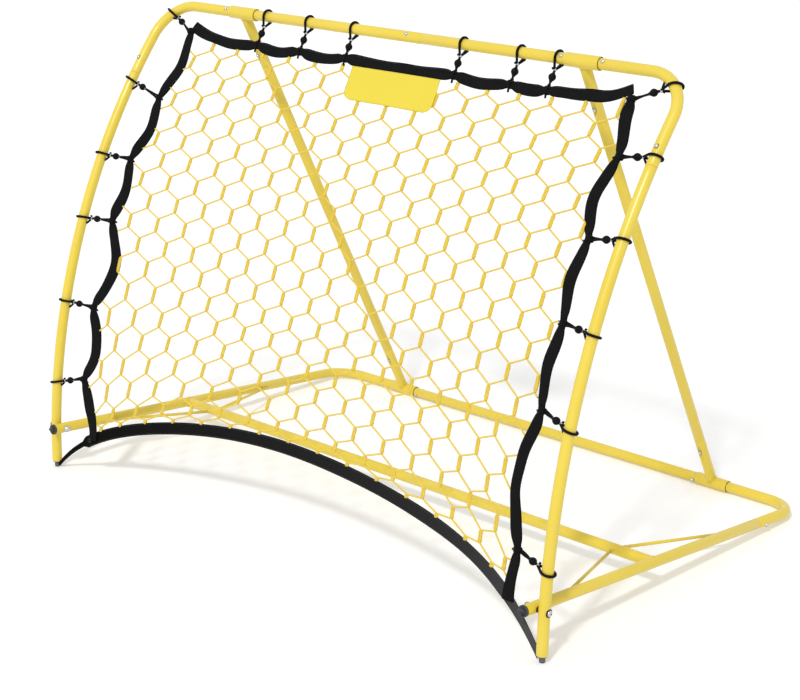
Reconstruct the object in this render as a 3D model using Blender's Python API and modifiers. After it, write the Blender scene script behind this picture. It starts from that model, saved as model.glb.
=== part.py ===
# Knock-down ball rebounder: a steel tube frame that holds a hexagonal net on elastic ties.
# Metres, +Z up, +X along the top bar, front towards -Y, origin at the middle of the footprint.
import math

import bmesh
import bpy
from mathutils import Matrix, Vector

# Tubes and fits
TUBE_RADIUS = 0.0095
TUBE_WALL = 0.001
FIT = 0.0003
TUBE_SIDES = 10
SLEEVE_SIDES = 12
HOLE_SIDES = 8
SPIGOT_LENGTH = 0.040
SWAGE_LENGTH = 0.002

# Front frame: two posts on one curve, joined by the top bar
POST_X = 0.600
POST_CURVE = 1.270
TOP_BAR_Z = 0.857
TOP_BEND = 0.072
TOP_CORNER_LEG = 0.084
TOP_JOINT_X = 0.050
POST_STEPS = 11
FOOT_PIN_HEIGHT = 0.012
FOOT_PIN_RADIUS = 0.005
PLUG_DEPTH = 0.015

# Base frame on the floor
BASE_RUN = 0.767
REAR_BEND = 0.060
REAR_CORNER_LEG = 0.080
PIVOT_Z = 0.084
PIVOT_SPACER = 0.003
PIVOT_RADIUS = 0.003
PIVOT_HEAD_RADIUS = 0.0065
PIVOT_HEAD_HEIGHT = 0.004
PIVOT_NUT_HEIGHT = 0.007
RAIL_NOSE = 0.022
CAP_THICKNESS = 0.004
MID_BAR_RUN = 0.317
MID_JOINT_X = 0.032
GUSSET_RADIUS = 0.0028
GUSSET_ALONG_BAR = 0.082
GUSSET_ALONG_RAIL = 0.240

# Struts and the tee fittings that carry them
STRUT_X = 0.394
SLEEVE_LENGTH = 0.068
SLEEVE_WALL = 0.0017
STUB_LENGTH = 0.115
STUB_SPIGOT = 0.060

# Spring buttons
BUTTON_RADIUS = 0.0035
BUTTON_RISE = 0.003
BUTTON_INNER = 0.003
BUTTON_ON_STUB = 0.088
BUTTON_ON_CORNER = 0.030

# Net, webbing and elastic ties
NET_COLUMNS = 15
NET_ROWS = 16
NET_SIDE_SHARE = 0.30
NET_STRAND = 0.003
NET_DRAW = 0.75
NET_CLEAR = 0.0022
TAPE_WIDTH = 0.0204
TAPE_GATHERED = 0.011
TAPE_THICKNESS = 0.002
TAPE_TAIL = 0.010
GATHER_REACH = 0.011
TAPE_STEP = 0.050
SIDE_INSET = 0.070
SIDE_SCALLOP = 0.14
TOP_SCALLOP = 0.05
TOP_TIE_DROP = 0.052
CORNER_INSET = 0.0895
CORNER_DROP = 0.041
TOP_TIE_SHARES = (-0.838, -0.563, -0.279, 0.365, 0.678, 0.876)
LEFT_TIE_SHARES = (0.806, 0.651, 0.443, 0.232)
RIGHT_TIE_SHARES = (1.017, 0.862, 0.681, 0.494, 0.200)
BOTTOM_CORNER_X = 0.510
STRAP_RISE = 0.175
STRAP_BOW_LEFT = 0.705
STRAP_BOW_RIGHT = 0.444
STRAP_END_POWER = 8
STRAP_FOOT_INSET = 0.0055
STRAP_WIDTH = 0.0225
STRAP_END_WIDTH = 0.006
STRAP_END_RUN = 0.090
CORD_RADIUS = 0.0022
WRAP_CORD_RADIUS = 0.0015
WRAP_BORE = 0.0071
KNOT_RADIUS = 0.007
KNOT_LENGTH = 0.018
KNOT_FROM_TUBE = 0.034
LABEL_WIDTH = 0.205
LABEL_X = 0.018
LABEL_HEIGHT = 0.052
LABEL_DROP = 0.011
LABEL_THICKNESS = 0.0012
LABEL_STANDOFF = 0.0025

# Sizes that follow from the driving ones
SPIGOT_RADIUS = (TUBE_RADIUS - TUBE_WALL) * math.cos(math.pi / TUBE_SIDES) - FIT
SLEEVE_RADIUS = TUBE_RADIUS + FIT + SLEEVE_WALL
REAR_BAR_Z = SLEEVE_RADIUS
RAIL_X = POST_X - 2 * TUBE_RADIUS - PIVOT_SPACER
BEND_ANGLE = math.asin(TOP_BAR_Z / math.hypot(POST_CURVE, TOP_BEND)) - math.atan2(TOP_BEND, POST_CURVE)


# Run of the posts' curve behind its foot at a height
def curve_run(height):
    return POST_CURVE - math.sqrt(POST_CURVE ** 2 - height ** 2)


RAIL_RUN = BASE_RUN - curve_run(PIVOT_Z)
RAIL_SLOPE = math.atan2(PIVOT_Z - REAR_BAR_Z, RAIL_RUN)
FRONT_REACH = (RAIL_NOSE + CAP_THICKNESS) * math.cos(RAIL_SLOPE) + TUBE_RADIUS * math.sin(RAIL_SLOPE)
FOOT_Y = -(BASE_RUN + SLEEVE_RADIUS + curve_run(PIVOT_Z) - FRONT_REACH) / 2
REAR_Y = FOOT_Y + BASE_RUN
PIVOT_Y = FOOT_Y + curve_run(PIVOT_Z)
TOP_BAR_Y = FOOT_Y + POST_CURVE * (1 - math.cos(BEND_ANGLE)) + TOP_BEND * math.sin(BEND_ANGLE)
JOINT_ANGLE = BEND_ANGLE - TOP_CORNER_LEG / POST_CURVE
JOINT_Z = POST_CURVE * math.sin(JOINT_ANGLE)
TOP_TIES = [share * STRUT_X for share in TOP_TIE_SHARES]
LEFT_TIES = [share * JOINT_Z for share in LEFT_TIE_SHARES]
RIGHT_TIES = [share * JOINT_Z for share in RIGHT_TIE_SHARES]
BORDER_Z = TOP_BAR_Z - TOP_TIE_DROP
TIE_X = POST_X - SIDE_INSET
NET_EDGE = TAPE_WIDTH / 2 + NET_STRAND / 2 + NET_CLEAR
SIDES = (("left", -1), ("right", 1))
RAIL_FORWARD = Vector((0, -math.cos(RAIL_SLOPE), math.sin(RAIL_SLOPE)))

for leftover in list(bpy.data.objects):
    bpy.data.objects.remove(leftover, do_unlink=True)

parts = bpy.data.collections.new("ball_rebounder")
bpy.context.scene.collection.children.link(parts)
root = bpy.data.objects.new("rebounder_root", None)
parts.objects.link(root)


def make_material(name, colour, roughness, metallic=0.0):
    material = bpy.data.materials.new(name)
    material.use_nodes = True
    shader = material.node_tree.nodes["Principled BSDF"]
    shader.inputs["Base Color"].default_value = (*colour, 1.0)
    shader.inputs["Roughness"].default_value = roughness
    shader.inputs["Metallic"].default_value = metallic
    return material


yellow_coat = make_material("yellow_coat", (0.90, 0.60, 0.03), 0.35)
yellow_twine = make_material("yellow_twine", (0.92, 0.62, 0.02), 0.70)
yellow_cloth = make_material("yellow_cloth", (0.93, 0.70, 0.06), 0.80)
black_webbing = make_material("black_webbing", (0.012, 0.012, 0.013), 0.85)
black_elastic = make_material("black_elastic", (0.015, 0.015, 0.016), 0.75)
black_plastic = make_material("black_plastic", (0.020, 0.020, 0.022), 0.50)
zinc_steel = make_material("zinc_steel", (0.62, 0.62, 0.60), 0.30, 1.0)


# Keep an object as a named piece of the rebounder
def keep(obj, name, material):
    obj.name = name
    obj.data.name = name
    obj.data.materials.clear()
    obj.data.materials.append(material)
    obj.data.shade_smooth()
    obj.data.set_sharp_from_angle(angle=math.radians(40))
    obj.parent = root
    return obj


def new_object(data):
    obj = bpy.data.objects.new(data.name, data)
    parts.objects.link(obj)
    return obj


# Replace an object by the plain mesh that its modifiers make
def settle(obj):
    bpy.context.view_layer.update()
    graph = bpy.context.evaluated_depsgraph_get()
    mesh = bpy.data.meshes.new_from_object(obj.evaluated_get(graph))
    work = bmesh.new()
    work.from_mesh(mesh)
    bmesh.ops.remove_doubles(work, verts=work.verts, dist=1e-6)
    work.to_mesh(mesh)
    work.free()
    settled = new_object(mesh)
    settled.matrix_world = obj.matrix_world.copy()
    bpy.data.objects.remove(obj, do_unlink=True)
    return settled


def boolean(target, tool, operation):
    step = target.modifiers.new(operation.lower(), "BOOLEAN")
    step.operation = operation
    step.solver = "EXACT"
    step.object = tool
    result = settle(target)
    bpy.data.objects.remove(tool, do_unlink=True)
    return result


# Axes of a frame whose Z follows a direction
def aim(place, direction):
    z_axis = direction.normalized()
    side = Vector((1, 0, 0)) if abs(z_axis.x) < 0.8 else Vector((0, 0, 1))
    x_axis = (side - z_axis * side.dot(z_axis)).normalized()
    y_axis = z_axis.cross(x_axis)
    turn = Matrix((x_axis, y_axis, z_axis)).transposed()
    return Matrix.Translation(place) @ turn.to_4x4()


def cylinder(start, end, radius, sides=16):
    work = bmesh.new()
    bmesh.ops.create_cone(
        work, cap_ends=True, segments=sides, radius1=radius, radius2=radius, depth=(end - start).length)
    mesh = bpy.data.meshes.new("cylinder")
    work.to_mesh(mesh)
    work.free()
    obj = new_object(mesh)
    obj.matrix_world = aim((start + end) / 2, end - start)
    return obj


# Turn a profile of (radius, height) points, top to bottom, about the Z of a frame
def turned(profile, matrix, steps=10):
    mesh = bpy.data.meshes.new("turned")
    points = [(radius, 0, height) for radius, height in profile]
    mesh.from_pydata(points, [(i, i + 1) for i in range(len(points) - 1)], [])
    obj = new_object(mesh)
    obj.matrix_world = matrix
    screw = obj.modifiers.new("turn", "SCREW")
    screw.steps = steps
    screw.render_steps = steps
    screw.use_merge_vertices = True
    screw.merge_threshold = 0.00001
    return settle(obj)


# Hollow tube on a path, with a swaged spigot on further points beyond either end where asked
def tube(path, start_spigot=(), end_spigot=()):
    swaged = SPIGOT_RADIUS / TUBE_RADIUS
    stations = [(point, 1.0) for point in path]
    if start_spigot:
        along = (path[1] - path[0]).normalized()
        stations[:1] = [(path[0], swaged), (path[0] + along * SWAGE_LENGTH, 1.0)]
        stations[:0] = [(point, swaged) for point in reversed(start_spigot)]
    if end_spigot:
        along = (path[-2] - path[-1]).normalized()
        stations[-1:] = [(path[-1] + along * SWAGE_LENGTH, 1.0), (path[-1], swaged)]
        stations += [(point, swaged) for point in end_spigot]
    curve = bpy.data.curves.new("tube", "CURVE")
    curve.dimensions = "3D"
    curve.bevel_depth = TUBE_RADIUS
    curve.bevel_resolution = TUBE_SIDES // 2 - 2
    curve.use_fill_caps = False
    spline = curve.splines.new("POLY")
    spline.points.add(len(stations) - 1)
    for knot, (point, share) in zip(spline.points, stations):
        knot.co = (*point, 1.0)
        knot.radius = share
    obj = new_object(curve)
    wall = obj.modifiers.new("wall", "SOLIDIFY")
    wall.thickness = TUBE_WALL
    wall.offset = -1.0
    return settle(obj)


def spaced(first, last, count):
    return [first + (last - first) * i / (count - 1) for i in range(count)]


def post_point(side, angle):
    run = POST_CURVE * (1 - math.cos(angle))
    return Vector((side * POST_X, FOOT_Y + run, POST_CURVE * math.sin(angle)))


def post_up(angle):
    return Vector((0, math.sin(angle), math.cos(angle)))


# Outward side of a post, away from the net's slope and towards the player
def post_front(angle):
    return Vector((0, -math.cos(angle), math.sin(angle)))


def rear_corner(side):
    return Vector((side * RAIL_X, REAR_Y, REAR_BAR_Z))


# Quarter bend from one direction into another, both pointing away from the corner
def quarter_bend(corner, first, second, radius, steps=6):
    centre = corner + (first + second) * radius
    turns = spaced(0.0, math.pi / 2, steps + 1)
    return [centre - second * radius * math.cos(t) - first * radius * math.sin(t) for t in turns]


# Spring button in a hole through the nested tubes, at a frame whose Z is the tube's outward side
def button(name, axis_point, outward, shells):
    place = aim(axis_point, outward)
    hole = (BUTTON_RADIUS + FIT) / math.cos(math.pi / HOLE_SIDES)
    cut = []
    for shell in shells:
        tool = cylinder(axis_point, axis_point + outward * TUBE_RADIUS * 2, hole, HOLE_SIDES)
        cut.append(boolean(shell, tool, "DIFFERENCE"))
    top = TUBE_RADIUS + BUTTON_RISE
    low = SPIGOT_RADIUS - TUBE_WALL - BUTTON_INNER
    dome = BUTTON_RADIUS * 0.6
    profile = [(0, top), (dome, top - BUTTON_RISE * 0.15), (BUTTON_RADIUS, top - BUTTON_RISE * 0.6),
               (BUTTON_RADIUS, low), (0, low)]
    keep(turned(profile, place, 8), name, zinc_steel)
    return cut


# Surface that the net and its webbing lie on: the posts' curve, drawn back towards the middle
def net_surface(x, z):
    chord = (TOP_BAR_Y - FOOT_Y) / TOP_BAR_Z * z
    run = curve_run(z)
    share = NET_DRAW * max(0.0, 1.0 - (x / POST_X) ** 2)
    return Vector((x, FOOT_Y + run + share * (chord - run), z))


def net_normal(x, z):
    step = 0.001
    across = net_surface(x + step, z) - net_surface(x - step, z)
    upward = net_surface(x, z + step) - net_surface(x, z - step)
    return across.cross(upward).normalized()


# Height of the bow strap: a shallow bow that falls steeply to the feet
def strap_z(x):
    bow = STRAP_BOW_RIGHT if x > 0 else STRAP_BOW_LEFT
    share = abs(x) / (POST_X - STRAP_FOOT_INSET)
    return STRAP_RISE * (1 - bow * share ** 2 - (1 - bow) * share ** STRAP_END_POWER)


# Height or inset along a row of ties, drawn in between them
def scalloped(at, knots, ratio):
    for (first, low), (last, high) in zip(knots, knots[1:]):
        if at <= last or last == knots[-1][0]:
            share = (at - first) / (last - first)
            drawn = ratio * (last - first) * math.sin(math.pi * min(max(share, 0.0), 1.0)) ** 2
            return low + (high - low) * share - drawn


def slope_factor(line, at):
    step = 0.001
    return math.hypot(1.0, (line(at + step) - line(at - step)) / (2 * step))


bend_apex_lift = TOP_BEND * (1 - math.sqrt(0.5))
CORNER_X = POST_X - CORNER_INSET
CORNER_Z = TOP_BAR_Z - CORNER_DROP


def bottom_edge_z(x):
    reach = STRAP_WIDTH / 2 + NET_STRAND / 2 + NET_CLEAR
    return strap_z(x) + reach * slope_factor(strap_z, x)


BOTTOM_X = BOTTOM_CORNER_X - NET_EDGE
top_knots = [(-CORNER_X, CORNER_Z)] + [(x, BORDER_Z) for x in TOP_TIES] + [(CORNER_X, CORNER_Z)]
side_knots = {
    side: [(bottom_edge_z(side * BOTTOM_X), BOTTOM_CORNER_X)] + [(z, TIE_X) for z in reversed(heights)]
    + [(CORNER_Z, CORNER_X)]
    for side, heights in ((-1, LEFT_TIES), (1, RIGHT_TIES))}


def top_line(x):
    return scalloped(x, top_knots, TOP_SCALLOP)


def side_line(side, z):
    return scalloped(z, side_knots[side], SIDE_SCALLOP)


# Band of webbing along a path on the net's surface, with a width at each point
def band(path, widths, thickness):
    places = [net_surface(x, z) for x, z in path]
    work = bmesh.new()
    rungs = []
    for i, (place, width) in enumerate(zip(places, widths)):
        along = places[min(i + 1, len(places) - 1)] - places[max(i - 1, 0)]
        across = net_normal(*path[i]).cross(along).normalized() * width / 2
        rungs.append((work.verts.new(place - across), work.verts.new(place + across)))
    for (a, b), (c, d) in zip(rungs, rungs[1:]):
        work.faces.new((a, c, d, b))
    bmesh.ops.recalc_face_normals(work, faces=work.faces)
    mesh = bpy.data.meshes.new("band")
    work.to_mesh(mesh)
    work.free()
    obj = new_object(mesh)
    solid = obj.modifiers.new("thickness", "SOLIDIFY")
    solid.thickness = thickness
    solid.offset = 0.0
    return settle(obj)


def tape_width(at, ties):
    nearest = min(abs(at - tie) for tie in ties)
    return TAPE_WIDTH - (TAPE_WIDTH - TAPE_GATHERED) * math.exp(-(nearest / GATHER_REACH) ** 2)


# Stations along a taped edge: close to each tie, and evenly spaced between
def tape_stations(knots, first, last):
    stops = {first, last}
    for a, b in zip(knots, knots[1:]):
        inner = spaced(a + 2 * GATHER_REACH, b - 2 * GATHER_REACH, 2 + int((b - a) / TAPE_STEP))
        for stop in [a, a + GATHER_REACH] + inner + [b - GATHER_REACH, b]:
            if first < stop < last:
                stops.add(stop)
    return sorted(stops)


# Posts and their foot plugs
solids = {}
for label, side in SIDES:
    low = math.asin(FOOT_PIN_HEIGHT / POST_CURVE)
    high = JOINT_ANGLE - FIT / POST_CURVE
    path = [post_point(side, angle) for angle in spaced(low, high, POST_STEPS)]
    spigot = [post_point(side, angle) for angle in spaced(high, high + SPIGOT_LENGTH / POST_CURVE, 4)][1:]
    solids[label + "_post"] = tube(path, end_spigot=spigot)
    slack = SPIGOT_RADIUS - 2 * FIT
    profile = [(0, PLUG_DEPTH), (slack, PLUG_DEPTH), (slack, 0), (FOOT_PIN_RADIUS, 0),
               (FOOT_PIN_RADIUS, -FOOT_PIN_HEIGHT), (0, -FOOT_PIN_HEIGHT)]
    foot = aim(Vector((side * POST_X, FOOT_Y, FOOT_PIN_HEIGHT)), Vector((0, 0, 1)))
    keep(turned(profile, foot), label + "_foot_plug", black_plastic)

# Top corners and the two halves of the top bar
up = post_up(BEND_ANGLE)
for label, side in SIDES:
    inward = Vector((-side, 0, 0))
    corner = Vector((side * POST_X, TOP_BAR_Y, TOP_BAR_Z))
    bend = quarter_bend(corner, inward, -up, TOP_BEND)
    leg = [post_point(side, angle) for angle in spaced(BEND_ANGLE, JOINT_ANGLE, 4)][1:]
    start = Vector((side * (STRUT_X + FIT), TOP_BAR_Y, TOP_BAR_Z))
    spigot = [start + inward * SLEEVE_LENGTH / 2]
    solids[label + "_corner_tube"] = tube([start] + bend + leg, start_spigot=spigot)


def top_bar_at(x):
    return Vector((x, TOP_BAR_Y, TOP_BAR_Z))


solids["top_bar_left"] = tube([top_bar_at(-STRUT_X), top_bar_at(TOP_JOINT_X - FIT)],
                              end_spigot=[top_bar_at(TOP_JOINT_X + SPIGOT_LENGTH)])
solids["top_bar_right"] = tube([top_bar_at(TOP_JOINT_X), top_bar_at(STRUT_X)])

# Struts between the stubs of the top and rear tees
for label, side in SIDES:
    high = Vector((side * STRUT_X, TOP_BAR_Y, TOP_BAR_Z))
    low = Vector((side * STRUT_X, REAR_Y, REAR_BAR_Z))
    fall = (low - high).normalized()
    shoulder = fall * (STUB_LENGTH + FIT)
    spigot = fall * (STUB_LENGTH - STUB_SPIGOT)
    strut = tube([high + shoulder, low - shoulder], [high + spigot], [low - spigot])
    front = Vector((1, 0, 0)).cross(fall)
    front = front if front.y < 0 else -front
    for level, centre, away in (("top", high, fall), ("rear", low, -fall)):
        half = Vector((SLEEVE_LENGTH / 2, 0, 0))
        tee = cylinder(centre - half, centre + half, SLEEVE_RADIUS, SLEEVE_SIDES)
        tee = boolean(tee, cylinder(centre, centre + away * STUB_LENGTH, TUBE_RADIUS, TUBE_SIDES), "UNION")
        bore = TUBE_RADIUS - TUBE_WALL
        tee = boolean(tee, cylinder(centre, centre + away * STUB_LENGTH * 2, bore, TUBE_SIDES), "DIFFERENCE")
        reach = half * 2
        clear = (TUBE_RADIUS + FIT) / math.cos(math.pi / SLEEVE_SIDES)
        tee = boolean(tee, cylinder(centre - reach, centre + reach, clear, SLEEVE_SIDES), "DIFFERENCE")
        name = label + ("_top_button" if level == "top" else "_rear_button")
        tee, strut = button(name, centre + away * BUTTON_ON_STUB, front, (tee, strut))
        keep(tee, label + "_" + level + "_tee", yellow_coat)
    keep(strut, label + "_strut", yellow_coat)

# Buttons that lock the posts in the corner tubes
for label, side in SIDES:
    angle = JOINT_ANGLE + BUTTON_ON_CORNER / POST_CURVE
    shells = (solids[label + "_post"], solids[label + "_corner_tube"])
    post, corner = button(label + "_post_button", post_point(side, angle), post_front(angle), shells)
    solids[label + "_post"] = post
    solids[label + "_corner_tube"] = corner

# Base rails, rear corners and rear bar
rear_at = {x: Vector((x, REAR_Y, REAR_BAR_Z)) for x in (-STRUT_X, STRUT_X)}
solids["rear_bar"] = tube([rear_at[-STRUT_X], rear_at[STRUT_X]])
for label, side in SIDES:
    forward = RAIL_FORWARD
    corner = rear_corner(side)
    inward = Vector((-side, 0, 0))
    bend = quarter_bend(corner, inward, forward, REAR_BEND, 4)
    joint = corner + forward * (REAR_BEND + REAR_CORNER_LEG)
    start = Vector((side * (STRUT_X + FIT), REAR_Y, REAR_BAR_Z))
    solids[label + "_rear_corner"] = tube([start] + bend + [joint], [start + inward * SLEEVE_LENGTH / 2],
                                          [joint + forward * SPIGOT_LENGTH])
    pivot = Vector((side * RAIL_X, PIVOT_Y, PIVOT_Z))
    nose = pivot + forward * RAIL_NOSE
    solids[label + "_rail"] = tube([joint + forward * FIT, nose])
    profile = [(0, CAP_THICKNESS), (TUBE_RADIUS * 0.85, CAP_THICKNESS), (TUBE_RADIUS, CAP_THICKNESS * 0.6),
               (TUBE_RADIUS, FIT), (SPIGOT_RADIUS, FIT), (SPIGOT_RADIUS, -PLUG_DEPTH), (0, -PLUG_DEPTH)]
    keep(turned(profile, aim(nose, forward)), label + "_rail_cap", black_plastic)

# Pivot bolts through post and rail, with their nuts on the inner side
for label, side in SIDES:
    outward = Vector((side, 0, 0))
    outer = POST_X + TUBE_RADIUS + FIT
    inner = RAIL_X - TUBE_RADIUS - FIT
    line = Vector((0, PIVOT_Y, PIVOT_Z))
    for name in (label + "_post", label + "_rail"):
        tool = cylinder(line + outward * (inner - TUBE_RADIUS), line + outward * (outer + TUBE_RADIUS),
                        PIVOT_RADIUS + FIT, 12)
        solids[name] = boolean(solids[name], tool, "DIFFERENCE")
    collar = PIVOT_SPACER / 2 - FIT
    middle = (POST_X + RAIL_X) / 2
    tip = inner - PIVOT_NUT_HEIGHT + FIT * 4
    profile = [(0, outer + PIVOT_HEAD_HEIGHT), (PIVOT_HEAD_RADIUS * 0.6, outer + PIVOT_HEAD_HEIGHT * 0.8),
               (PIVOT_HEAD_RADIUS, outer + PIVOT_HEAD_HEIGHT * 0.2), (PIVOT_HEAD_RADIUS, outer),
               (PIVOT_RADIUS, outer), (PIVOT_RADIUS, middle + collar),
               (PIVOT_HEAD_RADIUS, middle + collar), (PIVOT_HEAD_RADIUS, middle - collar),
               (PIVOT_RADIUS, middle - collar), (PIVOT_RADIUS, tip), (0, tip)]
    bolt_frame = aim(line, outward)
    keep(turned(profile, bolt_frame), label + "_pivot_bolt", zinc_steel)
    bore = PIVOT_RADIUS + FIT
    base = inner - PIVOT_NUT_HEIGHT
    nut = cylinder(line + outward * base, line + outward * inner, PIVOT_HEAD_RADIUS, 6)
    socket = cylinder(line + outward * (tip - FIT), line + outward * (inner + FIT), bore, 12)
    keep(boolean(nut, socket, "DIFFERENCE"), label + "_pivot_nut", zinc_steel)

# Cross bar between the rails, with two gusset rods on each side
mid_line = {}
for label, side in SIDES:
    along = (BASE_RUN - MID_BAR_RUN) / math.cos(RAIL_SLOPE)
    mid_line[side] = rear_corner(side) + RAIL_FORWARD * along
mid_joint = mid_line[1].copy()
mid_joint.x = MID_JOINT_X
left_end = mid_joint - Vector((FIT, 0, 0))
mid_spigot = [mid_joint + Vector((SPIGOT_LENGTH, 0, 0))]
mids = {-1: tube([mid_line[-1], left_end], end_spigot=mid_spigot), 1: tube([mid_joint, mid_line[1]])}
for label, side in SIDES:
    forward = RAIL_FORWARD
    inward = Vector((-side, 0, 0))
    coping = TUBE_RADIUS + FIT
    reach = forward * GUSSET_ALONG_RAIL * 1.5

    def rail_tool():
        return cylinder(mid_line[side] - reach, mid_line[side] + reach, coping)

    def bar_tool():
        return cylinder(mid_line[side], mid_line[side] + inward * GUSSET_ALONG_BAR * 2, coping)

    for end, sense in (("front", 1), ("rear", -1)):
        rod = cylinder(mid_line[side] + inward * GUSSET_ALONG_BAR,
                       mid_line[side] + forward * GUSSET_ALONG_RAIL * sense, GUSSET_RADIUS, 8)
        rod = boolean(rod, rail_tool(), "DIFFERENCE")
        rod = boolean(rod, bar_tool(), "DIFFERENCE")
        keep(rod, label + "_" + end + "_gusset", yellow_coat)
    keep(boolean(mids[side], rail_tool(), "DIFFERENCE"), "mid_bar_" + label, yellow_coat)

for name, solid in solids.items():
    keep(solid, name, yellow_coat)

# Webbing round the net
across = tape_stations([x for x, _ in top_knots], -CORNER_X - TAPE_TAIL, CORNER_X + TAPE_TAIL)
top_path = [(x, top_line(min(max(x, -CORNER_X), CORNER_X))) for x in across]
top_widths = [tape_width(x, [knot for knot, _ in top_knots]) for x in across]
keep(band(top_path, top_widths, TAPE_THICKNESS), "top_border", black_webbing)
for label, side in SIDES:
    heights = [z for z, _ in side_knots[side]]
    inner = side * (BOTTOM_CORNER_X - TAPE_WIDTH / 2)
    low = strap_z(inner) + STRAP_WIDTH / 2 * slope_factor(strap_z, inner) + FIT * 2
    high = top_line(CORNER_X - TAPE_WIDTH) - TAPE_WIDTH / 2 - FIT * 2
    stops = tape_stations(heights, low, high)
    side_path = [(side * side_line(side, z), z) for z in stops]
    side_widths = [tape_width(z, heights[1:-1]) for z in stops]
    keep(band(side_path, side_widths, TAPE_THICKNESS), label + "_border", black_webbing)

# Bow strap from foot to foot
strap_tip = POST_X - FOOT_PIN_RADIUS - FIT * 2 - STRAP_END_WIDTH / 2
strap_xs = [strap_tip * math.sin(math.pi / 2 * share) for share in spaced(-1.0, 1.0, 33)]
strap_path = [(x, strap_z(x)) for x in strap_xs]
strap_widths = []
for x in strap_xs:
    share = min(1.0, (strap_tip - abs(x)) / STRAP_END_RUN)
    strap_widths.append(STRAP_END_WIDTH + (STRAP_WIDTH - STRAP_END_WIDTH) * share)
keep(band(strap_path, strap_widths, TAPE_THICKNESS), "bow_strap", black_webbing)


# Point of the net at a share of its width and height
def net_place(u, v):
    high_x = CORNER_X - NET_EDGE
    high_z = top_line(high_x) - NET_EDGE
    straight = (1 - v) * BOTTOM_X + v * high_x
    x = straight * (2 * u - 1)
    base_z = bottom_edge_z(BOTTOM_X * (2 * u - 1))
    z = base_z + (high_z - base_z) * v
    for side, near in ((-1, 1 - u), (1, u)):
        def inset(at, side=side):
            return side_line(side, at)
        edge = inset(z) - NET_EDGE * slope_factor(inset, z)
        x += side * (edge - straight) * near ** 4
    top_x = high_x * (2 * u - 1)
    z += (top_line(top_x) - NET_EDGE * slope_factor(top_line, top_x) - high_z) * v ** 6
    return net_surface(x, z)


# Hexagonal net: hexagons with upright sides, cut in half where they meet the webbing
work = bmesh.new()
knots = {}


def net_knot(column, row):
    u = min(max(column / NET_COLUMNS, 0.0), 1.0)
    v = min(max(row / NET_ROWS, 0.0), 1.0)
    key = (round(u, 5), round(v, 5))
    if key not in knots:
        knots[key] = work.verts.new(net_place(u, v))
    return knots[key]


point = 1.0 - NET_SIDE_SHARE
hexagon = ((0, point), (-0.5, NET_SIDE_SHARE), (-0.5, -NET_SIDE_SHARE), (0, -point),
           (0.5, -NET_SIDE_SHARE), (0.5, NET_SIDE_SHARE))
for row in range(NET_ROWS + 1):
    shift = 0.5 * (row % 2)
    for column in range(NET_COLUMNS + 1 - row % 2):
        ring = []
        for dx, dy in hexagon:
            knot = net_knot(column + shift + dx, row + dy)
            if knot not in ring:
                ring.append(knot)
        work.faces.new(ring)
print("net gaps", len(work.faces))
net_mesh = bpy.data.meshes.new("net")
work.to_mesh(net_mesh)
work.free()
net = new_object(net_mesh)
strands = net.modifiers.new("strands", "WIREFRAME")
strands.thickness = NET_STRAND
strands.use_even_offset = False
strands.use_boundary = True
keep(settle(net), "net", yellow_twine)


# Elastic tie: a loop round the tube, a knot on the doubled cord and a wrap round the webbing
def torus(centre, axis, ring_radius, cord_radius, ring_steps, cord_steps):
    bpy.ops.mesh.primitive_torus_add(
        major_radius=ring_radius, minor_radius=cord_radius,
        major_segments=ring_steps, minor_segments=cord_steps)
    made = bpy.context.object
    obj = new_object(made.data)
    bpy.data.objects.remove(made, do_unlink=True)
    obj.matrix_world = aim(centre, axis)
    return obj


def tie(name, tube_point, tube_axis, hold, hold_axis):
    loop_steps = 8
    wrap_steps = 8
    loop = (TUBE_RADIUS + FIT + CORD_RADIUS) / math.cos(math.pi / loop_steps)
    wrap = WRAP_BORE + WRAP_CORD_RADIUS
    side = tube_point - hold
    side = (side - hold_axis * side.dot(hold_axis)).normalized()
    wrap_end = hold + side * wrap
    reach = wrap_end - tube_point
    reach = (reach - tube_axis * reach.dot(tube_axis)).normalized()
    loop_end = tube_point + reach * loop
    along = (wrap_end - loop_end).normalized()
    solid = torus(tube_point, tube_axis, loop, CORD_RADIUS, loop_steps, 4)
    solid = boolean(solid, cylinder(loop_end, wrap_end, CORD_RADIUS, 5), "UNION")
    knot_work = bmesh.new()
    bmesh.ops.create_uvsphere(knot_work, u_segments=6, v_segments=3, radius=1.0)
    knot_mesh = bpy.data.meshes.new("knot")
    knot_work.to_mesh(knot_mesh)
    knot_work.free()
    knot = new_object(knot_mesh)
    swell = Matrix.Diagonal((KNOT_RADIUS, KNOT_RADIUS, KNOT_LENGTH / 2, 1.0))
    knot.matrix_world = aim(tube_point + along * KNOT_FROM_TUBE, along) @ swell
    solid = boolean(solid, knot, "UNION")
    ring = torus(hold, hold_axis, wrap, WRAP_CORD_RADIUS, wrap_steps, 4)
    keep(boolean(solid, ring, "UNION"), name, black_elastic)


# Directions of the webbing where a tie holds it
def top_run(x):
    ends = [net_surface(at, top_line(at)) for at in (x - GATHER_REACH / 2, x + GATHER_REACH / 2)]
    return (ends[1] - ends[0]).normalized()


def side_run(side, z):
    ends = [net_surface(side * side_line(side, at), at) for at in (z - GATHER_REACH / 2, z + GATHER_REACH / 2)]
    return (ends[1] - ends[0]).normalized()


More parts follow.
